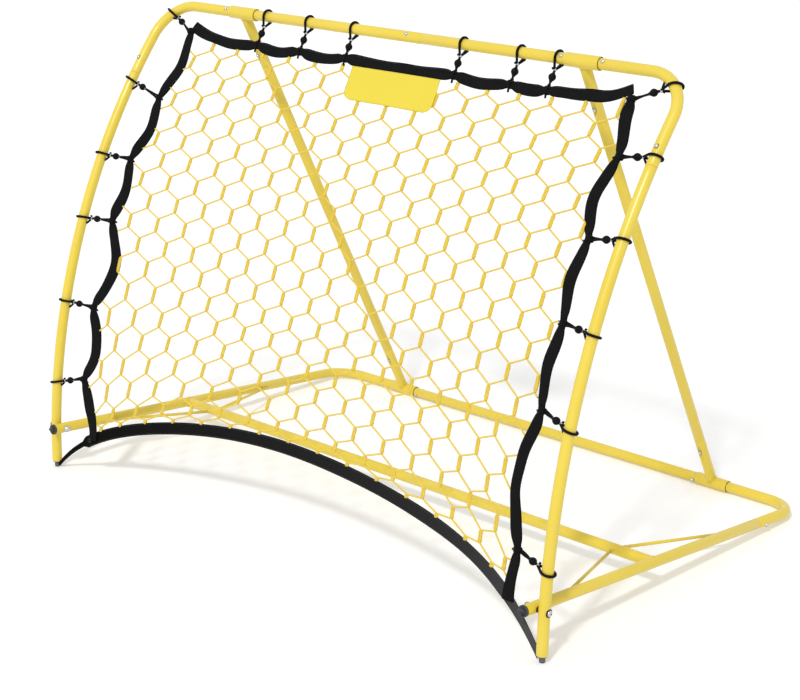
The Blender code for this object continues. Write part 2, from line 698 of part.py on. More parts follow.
for i, x in enumerate(TOP_TIES):
    hold = net_surface(x, BORDER_Z)
    tie("top_tie_" + str(i + 1), top_bar_at(x), Vector((1, 0, 0)), hold, top_run(x))
for label, side in SIDES:
    heights = LEFT_TIES if side < 0 else RIGHT_TIES
    for i, z in enumerate(heights):
        angle = math.asin(z / POST_CURVE)
        hold = net_surface(side * TIE_X, z)
        tie(label + "_tie_" + str(i + 1), post_point(side, angle), post_up(angle), hold, side_run(side, z))
    inward = Vector((-side, 0, 0))
    apex = top_bar_at(side * POST_X) + (inward - up) * bend_apex_lift
    hold = net_surface(side * CORNER_X, CORNER_Z)
    tie(label + "_corner_tie", apex, (inward + up).normalized(), hold, top_run(side * CORNER_X))

# Label patch hanging from the top border between the two middle ties
label_work = bmesh.new()
columns = 8
rows = 2
grid = []
for i in range(rows + 1):
    line = []
    for j in range(columns + 1):
        x = LABEL_X + LABEL_WIDTH * (j / columns - 0.5)
        z = BORDER_Z - LABEL_DROP - LABEL_HEIGHT * i / rows
        front = net_normal(x, z)
        front = front if front.y < 0 else -front
        line.append(label_work.verts.new(net_surface(x, z) + front * LABEL_STANDOFF))
    grid.append(line)
for upper, lower in zip(grid, grid[1:]):
    for j in range(columns):
        label_work.faces.new((upper[j], lower[j], lower[j + 1], upper[j + 1]))
label_mesh = bpy.data.meshes.new("label")
label_work.to_mesh(label_mesh)
label_work.free()
patch = new_object(label_mesh)
cloth = patch.modifiers.new("thickness", "SOLIDIFY")
cloth.thickness = LABEL_THICKNESS
cloth.offset = 0.0
keep(settle(patch), "label_patch", yellow_cloth)
print("pieces", len([obj for obj in parts.objects if obj.type == "MESH"]))
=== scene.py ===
# Looks of the ball rebounder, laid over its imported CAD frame
from math import acos, asin, atan2, copysign, cos, exp, hypot, log, pi, radians, sin, sqrt

import bmesh
import bpy
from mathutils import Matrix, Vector


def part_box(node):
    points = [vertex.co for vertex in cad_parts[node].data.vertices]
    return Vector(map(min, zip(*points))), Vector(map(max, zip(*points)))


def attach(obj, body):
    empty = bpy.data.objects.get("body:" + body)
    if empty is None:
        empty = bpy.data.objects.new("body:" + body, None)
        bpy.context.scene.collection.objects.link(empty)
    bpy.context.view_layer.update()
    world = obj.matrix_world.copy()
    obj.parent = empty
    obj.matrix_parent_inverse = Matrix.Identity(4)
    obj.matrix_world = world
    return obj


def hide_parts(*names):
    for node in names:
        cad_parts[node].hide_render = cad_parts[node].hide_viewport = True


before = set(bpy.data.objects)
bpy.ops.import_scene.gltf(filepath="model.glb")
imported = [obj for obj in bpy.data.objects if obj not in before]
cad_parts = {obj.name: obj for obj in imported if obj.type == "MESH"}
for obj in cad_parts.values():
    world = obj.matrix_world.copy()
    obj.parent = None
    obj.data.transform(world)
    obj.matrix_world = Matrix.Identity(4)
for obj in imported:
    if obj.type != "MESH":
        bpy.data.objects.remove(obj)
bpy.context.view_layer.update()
scene = bpy.context.scene
sides = (("left", -1), ("right", 1))
xAxis = Vector((1, 0, 0))
zAxis = Vector((0, 0, 1))
# A hair's breadth that closes the ends of turned shapes and keeps faces apart
hair = 0.0001

# Sizes that the tubes share with the CAD frame
layout = {
    "tubeRadius": 0.0095, "postCurve": 1.270, "topBend": 0.072, "topCornerLeg": 0.084, "topJointX": 0.050,
    "rearBend": 0.060, "rearCornerLeg": 0.080, "railNose": 0.022, "midBarRun": 0.317, "midJointX": 0.032,
    "strutX": 0.394, "sleeveLength": 0.068, "sleeveRadius": 0.0115, "stubLength": 0.115,
    "gussetRadius": 0.0028, "gussetAlongBar": 0.082, "gussetAlongRail": 0.240, "footPin": 0.012,
}
tubeRadius = layout["tubeRadius"]
postCurve = layout["postCurve"]
strutX = layout["strutX"]


def middle(node):
    low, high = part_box(node)
    return (Vector(low) + Vector(high)) / 2


# Places read from the frame
foot = middle("right_foot_plug")
postX = foot.x
footY = foot.y
topY, topZ = middle("top_bar_right").yz
rearY, rearZ = middle("rear_bar").yz
pivotY, pivotZ = middle("right_pivot_nut").yz
railX = middle("right_rail").x
bendAngle = asin(topZ / hypot(postCurve, layout["topBend"]))
bendAngle -= atan2(layout["topBend"], postCurve)
jointAngle = bendAngle - layout["topCornerLeg"] / postCurve
jointZ = postCurve * sin(jointAngle)
railForward = Vector((0, pivotY - rearY, pivotZ - rearZ)).normalized()
strutFall = Vector((0, rearY - topY, rearZ - topZ)).normalized()
strutFront = Vector((0, strutFall.z, -strutFall.y))
strutFront = strutFront if strutFront.y < 0 else -strutFront
postUp = Vector((0, sin(bendAngle), cos(bendAngle)))


def postPoint(side, angle):
    return Vector((side * postX, footY + postCurve * (1 - cos(angle)), postCurve * sin(angle)))


def topBarAt(x):
    return Vector((x, topY, topZ))


def rearBarAt(x):
    return Vector((x, rearY, rearZ))


def spaced(first, last, count):
    return [first + (last - first) * i / (count - 1) for i in range(count)]


def oval(place, first, second, turn):
    return place + first * cos(turn) + second * sin(turn)


# Camera at the photo's angle
camera = bpy.data.objects.new("camera", bpy.data.cameras.new("camera"))
scene.collection.objects.link(camera)
scene.camera = camera
view = {
    "azimuth": 42.794, "elevation": 18.03, "place": (2.2136, -2.4365, 1.3530), "lens": 85.34, "sensor": 36,
    "shift": (-0.00175, -0.00188),
}
camera.location = view["place"]
camera.rotation_euler = (pi / 2 - radians(view["elevation"]), 0, radians(view["azimuth"]))
camera.data.sensor_fit = "HORIZONTAL"
camera.data.sensor_width = view["sensor"]
camera.data.lens = view["lens"]
camera.data.shift_x, camera.data.shift_y = view["shift"]


# Node helpers for shaders and shapes alike: each wire is a socket or a plain value
def put(tree, kind, wires=None, **settings):
    made = tree.nodes.new(kind)
    for key, value in settings.items():
        setattr(made, key, value)
    for key, value in (wires or {}).items():
        if isinstance(value, bpy.types.NodeSocket):
            tree.links.new(value, made.inputs[key])
        else:
            made.inputs[key].default_value = value
    return made.outputs


def maths(tree, operation, first, second=0.0):
    return put(tree, "ShaderNodeMath", {0: first, 1: second}, operation=operation)[0]


def times(tree, first, second):
    return maths(tree, "MULTIPLY", first, second)


def plus(tree, first, second):
    return maths(tree, "ADD", first, second)


# Materials: a shader, then patterns wired onto it between a dark and a light colour
colours = {
    "coat": ((0.79, 0.595, 0.045), (0.83, 0.640, 0.065)),
    "twine": ((0.84, 0.58, 0.045), (0.93, 0.71, 0.09)),
    "border": ((0.003, 0.003, 0.0034), (0.015, 0.015, 0.0165)),
    # The strap's light colour is a painted sheen, reached towards its right end
    "strap": ((0.0015, 0.0015, 0.0015), (0.075, 0.075, 0.077)),
    "thread": ((0.035, 0.035, 0.04), (0.07, 0.07, 0.075)),
    "elastic": ((0.002, 0.002, 0.0025), (0.010, 0.010, 0.011)),
    "bead": ((0.002, 0.002, 0.0025), (0.006, 0.006, 0.0065)),
    "cap": ((0.040, 0.040, 0.043), (0.060, 0.060, 0.064)),
    "pin": ((0.075, 0.080, 0.085), (0.11, 0.115, 0.12)),
    "label": ((0.80, 0.64, 0.050), (0.84, 0.69, 0.075)),
}
# Painted sheen along the strap, rising slowly from its left end and quickly near its right end
strapPaintedSheen = {"length": 1.30, "slow": 0.85, "quick": 3.0, "power": 10.0, "start": -0.85, "weave": 0.10}


def newFinish(name, colour, roughness, **extra):
    material = bpy.data.materials.new(name)
    material.use_nodes = True
    values = material.node_tree.nodes["Principled BSDF"].inputs
    values["Base Color"].default_value = (*colour, 1)
    values["Roughness"].default_value = roughness
    for key, value in extra.items():
        values[key.replace("_", " ")].default_value = value
    return material, material.node_tree


def wire(tree, socket, key):
    tree.links.new(socket, tree.nodes["Principled BSDF"].inputs[key])


def noise(tree, scale):
    place = put(tree, "ShaderNodeTexCoord")["Object"]
    return put(tree, "ShaderNodeTexNoise", {"Scale": scale, "Detail": 3.0, "Vector": place})[0]


# A piece's own map: u in metres along it, v across or round it
def mapSpot(tree):
    place = put(tree, "ShaderNodeUVMap", uv_map="sweepUV")[0]
    return put(tree, "ShaderNodeSeparateXYZ", {0: place})


def bands(tree, pitch, perRound):
    spot = mapSpot(tree)
    along = times(tree, spot[0], 2 * pi / pitch)
    around = times(tree, spot[1], 2 * pi * perRound)
    return maths(tree, "SINE", plus(tree, along, around))


def shadeBy(tree, factor, first, second, low, high):
    spread = put(tree, "ShaderNodeMapRange", {0: factor, 1: low, 2: high})[0]
    colours = {0: spread, 6: (*first, 1), 7: (*second, 1)}
    wire(tree, put(tree, "ShaderNodeMix", colours, data_type="RGBA")[2], "Base Color")


def roughenBy(tree, factor, low, high):
    spread = put(tree, "ShaderNodeMapRange", {0: factor, 1: 0.3, 2: 0.7, 3: low, 4: high})[0]
    wire(tree, spread, "Roughness")


# Bumps one on another, each a (height, distance, strength)
def emboss(tree, *layers):
    wires = {}
    for height, distance, strength in layers:
        wires.update({"Height": height, "Distance": distance, "Strength": strength})
        wires["Normal"] = put(tree, "ShaderNodeBump", wires)[0]
    wire(tree, wires["Normal"], "Normal")


def makePowderCoat():
    material, tree = newFinish("powderCoat", (0.80, 0.60, 0.07), 0.34, Coat_Weight=0.3, Coat_Roughness=0.16)
    shadeBy(tree, noise(tree, 9.0), *colours["coat"], 0.3, 0.7)
    roughenBy(tree, noise(tree, 40.0), 0.32, 0.44)
    emboss(tree, (noise(tree, 650.0), 0.0004, 0.12))
    return material


def makeTwine(name, deep, pale):
    material, tree = newFinish(name, deep, 0.72, Sheen_Weight=0.1)
    lay = bands(tree, 0.0030, 2)
    shadeBy(tree, plus(tree, lay, noise(tree, 60.0)), deep, pale, -0.6, 1.6)
    emboss(tree, (lay, 0.0006, 0.55), (noise(tree, 2600.0), 0.0003, 0.35))
    return material


# Painted sheen: tone that grows slowly along a piece and quickly at its far end, lightening the strap towards
# its right end as a highlight would
def withPaintedSheen(tree, tone, sheenPaint):
    share = maths(tree, "DIVIDE", mapSpot(tree)[0], sheenPaint["length"])
    slow = times(tree, share, sheenPaint["slow"])
    quick = times(tree, maths(tree, "POWER", share, sheenPaint["power"]), sheenPaint["quick"])
    paintedSheen = plus(tree, plus(tree, slow, quick), sheenPaint["start"])
    return plus(tree, paintedSheen, times(tree, tone, sheenPaint["weave"]))


# Weave of a flat cloth: ribs along it times threads across it
def woven(tree, pitch, threads):
    return times(tree, bands(tree, pitch, 0), bands(tree, 1000.0, threads))


def makeWebbing(name, dark, light, pitch, sheenPaint=None):
    material, tree = newFinish(name, dark, 0.92, Specular_IOR_Level=0.06)
    weave = woven(tree, pitch, 14)
    tone = plus(tree, weave, noise(tree, 35.0))
    # Painted sheen along the piece, when one is given
    if sheenPaint:
        tone = withPaintedSheen(tree, tone, sheenPaint)
    shadeBy(tree, tone, dark, light, -0.8, 1.9)
    emboss(tree, (weave, 0.0004, 0.5), (noise(tree, 900.0), 0.0003, 0.3))
    return material


def makeElastic():
    material, tree = newFinish("elasticBraid", (0.006, 0.006, 0.0065), 0.8, Specular_IOR_Level=0.12)
    braid = times(tree, bands(tree, 0.0035, 4), bands(tree, 0.0035, -4))
    shadeBy(tree, braid, *colours["elastic"], -1.0, 1.0)
    emboss(tree, (braid, 0.0005, 0.6))
    return material


def makePlastic(name, dark, light, roughness, **extra):
    material, tree = newFinish(name, dark, roughness, **extra)
    shadeBy(tree, noise(tree, 120.0), dark, light, 0.35, 0.7)
    emboss(tree, (noise(tree, 1500.0), 0.0002, 0.25))
    return material


def makeSteel(name, colour, roughness):
    material, tree = newFinish(name, colour, roughness, Metallic=1.0)
    roughenBy(tree, noise(tree, 300.0), roughness * 0.8, roughness * 1.4)
    emboss(tree, (noise(tree, 900.0), 0.0001, 0.15))
    return material


def makeLabelCloth():
    material, tree = newFinish("labelCloth", (0.82, 0.66, 0.06), 0.62, Specular_IOR_Level=0.3)
    weave = woven(tree, 0.0011, 48)
    tone = plus(tree, weave, noise(tree, 22.0))
    shadeBy(tree, tone, *colours["label"], -0.8, 1.9)
    emboss(tree, (weave, 0.0002, 0.3), (noise(tree, 30.0), 0.002, 0.12))
    return material


powderCoat = makePowderCoat()
twine = makeTwine("netTwine", *colours["twine"])
borderWebbing = makeWebbing("borderWebbing", *colours["border"], 0.0016)
strapWebbing = makeWebbing("strapWebbing", *colours["strap"], 0.0022, strapPaintedSheen)
stitchThread = makeTwine("stitchThread", *colours["thread"])
elastic = makeElastic()
beadPlastic = makePlastic("beadPlastic", *colours["bead"], 0.6, Specular_IOR_Level=0.1)
capPlastic = makePlastic("capPlastic", *colours["cap"], 0.6)
pinPlastic = makePlastic("pinPlastic", *colours["pin"], 0.5)
bright = makeSteel("brightSteel", (0.56, 0.56, 0.57), 0.16)
# Dark steel for the washers, spacers and eyelet, also used as painted shade in the sleeve-end gaps and the
# bolt recesses
shadowSteel = makeSteel("darkRing", (0.05, 0.05, 0.05), 0.5)
labelCloth = makeLabelCloth()
print("materials made")


# Node trees: a sweep along paths, a flat three-strand braid, and a row of stitches
def newTree(name, *sockets):
    tree = bpy.data.node_groups.new(name, "GeometryNodeTree")
    tree.interface.new_socket("Path", in_out="INPUT", socket_type="NodeSocketGeometry")
    for label, kind in sockets:
        tree.interface.new_socket(label, in_out="INPUT", socket_type="NodeSocket" + kind)
    tree.interface.new_socket("Finish", in_out="INPUT", socket_type="NodeSocketMaterial")
    tree.interface.new_socket("Mesh", in_out="OUTPUT", socket_type="NodeSocketGeometry")
    return tree, tree.nodes.new("NodeGroupInput").outputs, tree.nodes.new("NodeGroupOutput").inputs


def vectors(tree, operation, first, second):
    key = "Scale" if operation == "SCALE" else 1
    made = put(tree, "ShaderNodeVectorMath", {0: first, key: second}, operation=operation)
    return made["Value"] if operation == "DOT_PRODUCT" else made["Vector"]


def captured(tree, geometry, value):
    made = tree.nodes.new("GeometryNodeCaptureAttribute")
    made.capture_items.new("FLOAT", "Kept")
    tree.links.new(geometry, made.inputs[0])
    tree.links.new(value, made.inputs[1])
    return made.outputs[0], made.outputs[1]


def finished(tree, geometry, inputs, output):
    solid = put(tree, "GeometryNodeRealizeInstances", {0: geometry})[0]
    smooth = put(tree, "GeometryNodeSetShadeSmooth", {0: solid})[0]
    painted = put(tree, "GeometryNodeSetMaterial", {0: smooth, "Material": inputs["Finish"]})[0]
    tree.links.new(painted, output[0])
    return tree


def makeSweepTree():
    tree, inputs, output = newTree("sweepAlongPath", ("Sides", "Int"))
    station = put(tree, "GeometryNodeSplineParameter")
    path, along = captured(tree, inputs["Path"], station["Length"])
    points = plus(tree, inputs["Sides"], 1.0)
    circle = {"Resolution": points, "Radius": 1.0, "Sweep Angle": 2 * pi}
    ring = put(tree, "GeometryNodeCurveArc", circle)[0]
    profile, around = captured(tree, ring, station["Factor"])
    thickness = put(tree, "GeometryNodeInputRadius")[0]
    skin = put(tree, "GeometryNodeCurveToMesh", {0: path, 1: profile, "Scale": thickness})[0]
    spot = put(tree, "ShaderNodeCombineXYZ", {0: along, 1: around})[0]
    mapped = put(tree, "GeometryNodeStoreNamedAttribute", {0: skin, "Name": "sweepUV", "Value": spot},
                 data_type="FLOAT2", domain="CORNER")[0]
    closed = put(tree, "GeometryNodeMergeByDistance", {0: mapped, "Distance": 0.000004})[0]
    return finished(tree, closed, inputs, output)


def makeBraidTree(sweep):
    tree, inputs, output = newTree(
        "flatBraid", ("Half Width", "Float"), ("Half Depth", "Float"), ("Crossings", "Float"),
        ("Strand Radius", "Float"), ("Segments", "Int"), ("Sides", "Int"))
    even = put(tree, "GeometryNodeResampleCurve", {0: inputs["Path"], "Count": inputs["Segments"]})[0]
    strands = put(tree, "GeometryNodeDuplicateElements", {0: even, "Amount": 3}, domain="SPLINE")
    share = put(tree, "GeometryNodeSplineParameter")["Factor"]
    tangent = put(tree, "GeometryNodeInputTangent")[0]
    turn = times(tree, times(tree, share, inputs["Crossings"]), 2 * pi)
    phase = times(tree, strands[1], 2 * pi / 3)
    angle = plus(tree, turn, phase)
    fromEnd = maths(tree, "MINIMUM", share, maths(tree, "SUBTRACT", 1.0, share))
    swell = put(tree, "ShaderNodeMapRange", {0: fromEnd, 1: 0.0, 2: 0.16, 3: 0.35, 4: 1.0},
                interpolation_type="SMOOTHSTEP")[0]
    drift = vectors(tree, "DOT_PRODUCT", (1.0, 0.0, 0.0), tangent)
    flat = vectors(tree, "SUBTRACT", (1.0, 0.0, 0.0), vectors(tree, "SCALE", tangent, drift))
    depth = vectors(tree, "CROSS_PRODUCT", tangent, flat)
    width = times(tree, swell, inputs["Half Width"])
    sway = times(tree, maths(tree, "SINE", angle), width)
    double = maths(tree, "SINE", times(tree, angle, 2.0))
    rise = times(tree, double, inputs["Half Depth"])
    offset = vectors(tree, "ADD", vectors(tree, "SCALE", flat, sway), vectors(tree, "SCALE", depth, rise))
    laid = put(tree, "GeometryNodeSetPosition", {0: strands[0], "Offset": offset})[0]
    thin = put(tree, "GeometryNodeSetCurveRadius", {0: laid, "Radius": inputs["Strand Radius"]})[0]
    wires = {"Path": thin, "Sides": inputs["Sides"], "Finish": inputs["Finish"]}
    skin = put(tree, "GeometryNodeGroup", wires, node_tree=sweep)[0]
    return finished(tree, skin, inputs, output)


def makeStitchTree():
    tree, inputs, output = newTree(
        "stitchRow", ("Pitch", "Float"), ("Stitch Length", "Float"), ("Thread", "Float"))
    spread = {0: inputs["Path"], "Length": inputs["Pitch"]}
    spots = put(tree, "GeometryNodeCurveToPoints", spread, mode="LENGTH")
    thread = put(tree, "GeometryNodeMeshUVSphere", {"Segments": 6, "Rings": 4, "Radius": 1.0})[0]
    thick = inputs["Thread"]
    size = put(tree, "ShaderNodeCombineXYZ", {0: thick, 1: thick, 2: inputs["Stitch Length"]})[0]
    row = put(tree, "GeometryNodeInstanceOnPoints",
              {"Points": spots[0], "Instance": thread, "Rotation": spots["Rotation"], "Scale": size})[0]
    return finished(tree, row, inputs, output)


sweepTree = makeSweepTree()
braidTree = makeBraidTree(sweepTree)
stitchTree = makeStitchTree()


# Poly paths as one curve object; a path is a list of (point, radius)
def pathObject(name, paths, cyclic=False):
    data = bpy.data.curves.new(name, "CURVE")
    data.dimensions = "3D"
    for path in paths:
        spline = data.splines.new("POLY")
        spline.points.add(len(path) - 1)
        spline.use_cyclic_u = cyclic
        for knot, (place, radius) in zip(spline.points, path):
            knot.co = (*place, 1)
            knot.radius = radius
    obj = bpy.data.objects.new(name, data)
    scene.collection.objects.link(obj)
    return obj


def meshObject(name, mesh):
    mesh.name = name
    obj = bpy.data.objects.new(name, mesh)
    scene.collection.objects.link(obj)
    return obj


def evaluated(obj):
    bpy.context.view_layer.update()
    return bpy.data.meshes.new_from_object(obj.evaluated_get(bpy.context.evaluated_depsgraph_get()))


# Run a tree on a path object and keep the plain mesh
def grow(name, source, tree, **values):
    step = source.modifiers.new("grow", "NODES")
    step.node_group = tree
    for item in tree.interface.items_tree:
        key = item.name.replace(" ", "")
        if item.in_out == "INPUT" and key in values:
            step[item.identifier] = values[key]
    mesh = evaluated(source)
    bpy.data.objects.remove(source, do_unlink=True)
    return meshObject(name, mesh)


def swept(name, paths, material, roundSides=20, cyclic=False):
    return grow(name, pathObject(name, paths, cyclic), sweepTree, Sides=roundSides, Finish=material)


def joined(pieces):
    with bpy.context.temp_override(active_object=pieces[0], object=pieces[0], selected_objects=pieces,
                                   selected_editable_objects=pieces):
        bpy.ops.object.join()
    return pieces[0]


def settle(piece, slot, *nodes, body="frame"):
    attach(piece, body)
    if nodes:
        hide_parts(*nodes)


# A path whose two ends follow steps of (distance inward, radius)
def ended(points, radius, steps):
    ends = []
    for place, toward in ((points[0], points[1]), (points[-1], points[-2])):
        run = (toward - place).normalized()
        ends.append([(place + run * inset, size) for inset, size in steps])
    return ends[0] + [(point, radius) for point in points[1:-1]] + ends[1][::-1]


# Tubes: a path with softly rounded ends, closed at both
tubeEnds = {"round": 0.0007, "sink": 0.00001}


def tubePath(points, radius=tubeRadius):
    ease = tubeEnds["round"]
    soft = (ease * 0.3, radius - ease * 0.3)
    return ended(points, radius, ((0.0, 0.0), (tubeEnds["sink"], radius - ease), soft, (ease, radius)))


def quarterBend(corner, first, second, radius, steps=18):
    centre = corner + (first + second) * radius
    turns = spaced(0.0, pi / 2, steps + 1)
    return [centre - second * radius * cos(t) - first * radius * sin(t) for t in turns]


def makeTube(name, points, *nodes):
    piece = swept(name, [tubePath(points)], powderCoat, 28)
    settle(piece, "yellow_coat", *nodes)
    return piece


cornerTubes = {}
for label, side in sides:
    low = asin(layout["footPin"] / postCurve)
    post = [postPoint(side, a) for a in spaced(low, jointAngle, 60)]
    makeTube(label + "Post", post, label + "_post")
    inward = xAxis * -side
    corner = topBarAt(side * postX)
    bend = quarterBend(corner, inward, -postUp, layout["topBend"])
    leg = [postPoint(side, a) for a in spaced(bendAngle, jointAngle, 8)][1:]
    cornerPath = [topBarAt(side * strutX)] + bend + leg
    cornerTubes[label] = makeTube(label + "CornerTube", cornerPath, label + "_corner_tube")
    rearCorner = rearBarAt(side * railX)
    rearBend = quarterBend(rearCorner, inward, railForward, layout["rearBend"])
    railJoint = rearCorner + railForward * (layout["rearBend"] + layout["rearCornerLeg"])
    rearPath = [rearBarAt(side * strutX)] + rearBend + [railJoint]
    makeTube(label + "RearCorner", rearPath, label + "_rear_corner")
    pivot = Vector((side * railX, pivotY, pivotZ))
    nose = pivot + railForward * layout["railNose"]
    makeTube(label + "Rail", [railJoint, nose], label + "_rail")
    high = topBarAt(side * strutX) + strutFall * layout["stubLength"]
    low = rearBarAt(side * strutX) - strutFall * layout["stubLength"]
    makeTube(label + "Strut", [high, low], label + "_strut")
makeTube("topBarLeft", [topBarAt(-strutX), topBarAt(layout["topJointX"])], "top_bar_left")
makeTube("topBarRight", [topBarAt(layout["topJointX"]), topBarAt(strutX)], "top_bar_right")
makeTube("rearBar", [rearBarAt(-strutX), rearBarAt(strutX)], "rear_bar")
midAlong = (rearY - footY - layout["midBarRun"]) / -railForward.y
midPoint = {side: rearBarAt(side * railX) + railForward * midAlong for _, side in sides}
midJoint = midPoint[1].copy()
midJoint.x = layout["midJointX"]
makeTube("midBarLeft", [midPoint[-1], midJoint], "mid_bar_left")
makeTube("midBarRight", [midJoint, midPoint[1]], "mid_bar_right")
print("tubes swept")


# Weld bead round the foot of one tube where it stands on another
welds = {"radius": 0.0016, "steps": 28, "ripple": 0.12, "ripples": 9}


def weldRing(place, carrierAxis, carrierRadius, away, radius):
    across = carrierAxis.cross(away).normalized()
    along = away.cross(across).normalized()
    ring = []
    for i in range(welds["steps"]):
        turn = 2 * pi * i / welds["steps"]
        side = oval(Vector(), across * radius, along * radius, turn)
        lift = sqrt(max(carrierRadius ** 2 - side.dot(across) ** 2, 0.0))
        ripple = 1.0 + welds["ripple"] * sin(welds["ripples"] * turn)
        ring.append((place + side + away * lift, welds["radius"] * ripple))
    return ring


# Turned fittings: a straight sweep whose radius follows a profile of (radius, height)
def turned(name, place, axis, profile, material, roundSides=24):
    path = [(place + axis * height, radius) for radius, height in profile]
    return swept(name, [path], material, roundSides)


button = {
    "radius": 0.0035, "rise": 0.003, "depth": 0.006, "onStub": 0.088, "onCorner": 0.030, "hole": 0.0040,
    "holeDepth": 0.0042, "cut": 0.01,
}


def domeProfile(surface):
    top = surface + button["rise"]
    rim = [(button["radius"] * sin(t), top - button["rise"] * 0.7 * (1 - cos(t)))
           for t in spaced(0.0, pi / 2, 7)]
    rim[0] = (0.0, top)
    seat = surface - button["depth"]
    return rim + [(button["radius"], seat), (0.0, seat - hair)]


def drill(piece, place, outward):
    start = place + outward * (tubeRadius - button["holeDepth"])
    radius, length = button["hole"], button["cut"]
    profile = [(0.0, 0.0), (radius, hair), (radius, length - hair), (0.0, length)]
    cutter = turned("cutter", start, outward, profile, shadowSteel)
    step = piece.modifiers.new("hole", "BOOLEAN")
    step.operation = "DIFFERENCE"
    step.solver = "EXACT"
    step.object = cutter
    cut = evaluated(piece)
    piece.modifiers.remove(step)
    piece.data = cut
    bpy.data.objects.remove(cutter, do_unlink=True)


# Painted shade: a thin dark ring at a sleeve's end stands for the shaded gap between the sleeve and the tube
# in it
lip = {"thickness": 0.0005, "outside": 1.004}


def endLip(place):
    radius = tubeRadius + lip["thickness"]
    turns = spaced(0.0, 2 * pi, 41)[:-1]
    return [(oval(place, Vector((0, radius, 0)), zAxis * radius, t), lip["thickness"]) for t in turns]


# Tees of the struts and gussets of the cross bar, with their welds
fillet = {"inset": 0.004, "swell": 0.0022, "onBar": 0.0125, "onRail": 0.026}
for label, side in sides:
    for level, centre, away in (("Top", topBarAt(side * strutX), strutFall),
                                ("Rear", rearBarAt(side * strutX), -strutFall)):
        half = xAxis * layout["sleeveLength"] / 2
        stub = tubePath([centre + away * tubeRadius, centre + away * layout["stubLength"]])
        tee = swept(label + level + "Tee", [stub], powderCoat, 28)
        drill(tee, centre + away * button["onStub"], strutFront)
        sleeve = tubePath([centre - half, centre + half], layout["sleeveRadius"])
        welded = swept("sleeve", [sleeve], powderCoat, 32)
        weld = weldRing(centre, xAxis, layout["sleeveRadius"], away, tubeRadius)
        bead = swept("bead", [weld], powderCoat, 8, True)
        # Rings of painted shade at both ends of the sleeve
        gaps = [endLip(centre + half * sense * lip["outside"]) for sense in (-1, 1)]
        lips = swept("lips", gaps, shadowSteel, 6, True)
        settle(joined([tee, welded, bead, lips]), "yellow_coat", f"{label}_{level.lower()}_tee")
    inward = xAxis * -side
    for end, sense in (("Front", 1), ("Rear", -1)):
        onBar = midPoint[side] + inward * layout["gussetAlongBar"]
        onRail = midPoint[side] + railForward * layout["gussetAlongRail"] * sense
        rodRun = (onRail - onBar).normalized()
        length = (onRail - onBar).length
        radius = layout["gussetRadius"]
        profile = [(0.0, 0.0), (radius, hair), (radius, length - hair), (0.0, length)]
        piece = turned(label + end + "Gusset", onBar, rodRun, profile, powderCoat, 16)
        blobs = []
        for place, run, reach in ((onBar, rodRun, fillet["onBar"]), (onRail, -rodRun, fillet["onRail"])):
            start = place + run * fillet["inset"]
            blobs.append([(start + run * reach * t, radius + fillet["swell"] * cos(pi / 2 * t) ** 2)
                          for t in spaced(0.0, 1.0, 9)])
        ends = swept("fillets", blobs, powderCoat, 16)
        settle(joined([piece, ends]), "yellow_coat", f"{label}_{end.lower()}_gusset")
    weld = weldRing(midPoint[side], railForward, tubeRadius, inward, tubeRadius)
    barWeld = swept(label + "BarWeld", [weld], powderCoat, 8, True)
    settle(barWeld, "yellow_coat")
print("tees, gussets and welds made")

# Spring buttons, each on its own body, in drilled holes
for label, side in sides:
    angle = jointAngle + button["onCorner"] / postCurve
    postFront = Vector((0, -cos(angle), sin(angle)))
    places = {
        "Top": (topBarAt(side * strutX) + strutFall * button["onStub"], strutFront),
        "Rear": (rearBarAt(side * strutX) - strutFall * button["onStub"], strutFront),
        "Post": (postPoint(side, angle), postFront),
    }
    drill(cornerTubes[label], *places["Post"])
    for level, (place, outward) in places.items():
        node = f"{label}_{level.lower()}_button"
        piece = turned(label + level + "Button", place, outward, domeProfile(tubeRadius), bright)
        settle(piece, "zinc_steel", node, body=node)

# Fixed buttons at the other tube joints
fixedSpots = {
    "topBar": (-0.437, 0.020, 0.3535, 0.437), "rearBar": 0.354, "fromRailJoint": 0.022,
    "topFace": (0, -0.80, 0.60), "rearFace": (0, -0.94, -0.34), "railFall": 0.6,
}
fixedButtons = []
for x in fixedSpots["topBar"]:
    onSleeve = abs(abs(x) - strutX) < layout["sleeveLength"] / 2
    surface = layout["sleeveRadius"] if onSleeve else tubeRadius
    fixedButtons.append((topBarAt(x), Vector(fixedSpots["topFace"]), surface))
for label, side in sides:
    rearSpot = rearBarAt(side * fixedSpots["rearBar"])
    fixedButtons.append((rearSpot, Vector(fixedSpots["rearFace"]), tubeRadius))
    along = layout["rearBend"] + layout["rearCornerLeg"] - fixedSpots["fromRailJoint"]
    railSpot = rearBarAt(side * railX) + railForward * along
    fixedButtons.append((railSpot, xAxis * side - zAxis * fixedSpots["railFall"], tubeRadius))
fixed = joined([turned("fixedButton", place, face.normalized(), domeProfile(surface), bright)
                for place, face, surface in fixedButtons])
fixed.name = "jointButtons"
settle(fixed, "zinc_steel")

# Rail caps, foot plugs, pivot bolts and nuts
cap = {"thickness": 0.004, "edge": 0.0009, "dish": 0.0002}
bolt = {
    "head": 0.0052, "recess": 0.0016, "height": 0.004, "shank": 0.003, "washer": 0.0070,
    "washerHeight": 0.0012, "nut": 0.0056, "flange": 0.0062, "flangeHeight": 0.0014, "nutSide": 0.0040,
    "nutHeight": 0.007,
}
pinProfile = [
    (0.0, 0.0), (0.0042, 0.0001), (0.0049, 0.0008), (0.0051, 0.0030), (0.0051, 0.0095), (0.0060, 0.0105),
    (0.0086, 0.0110), (0.0088, 0.0122), (0.0, 0.0124),
]
full = tubeRadius + 2 * hair
edge, top = cap["edge"], cap["thickness"]
capProfile = [
    (0.0, 2 * hair), (full, 3 * hair), (full, top - edge), (full - edge * 0.3, top - edge * 0.3),
    (full - edge, top), (full - edge * 2, top), (full - edge * 2.6, top - cap["dish"]),
    (0.0, top - cap["dish"] * 0.8),
]
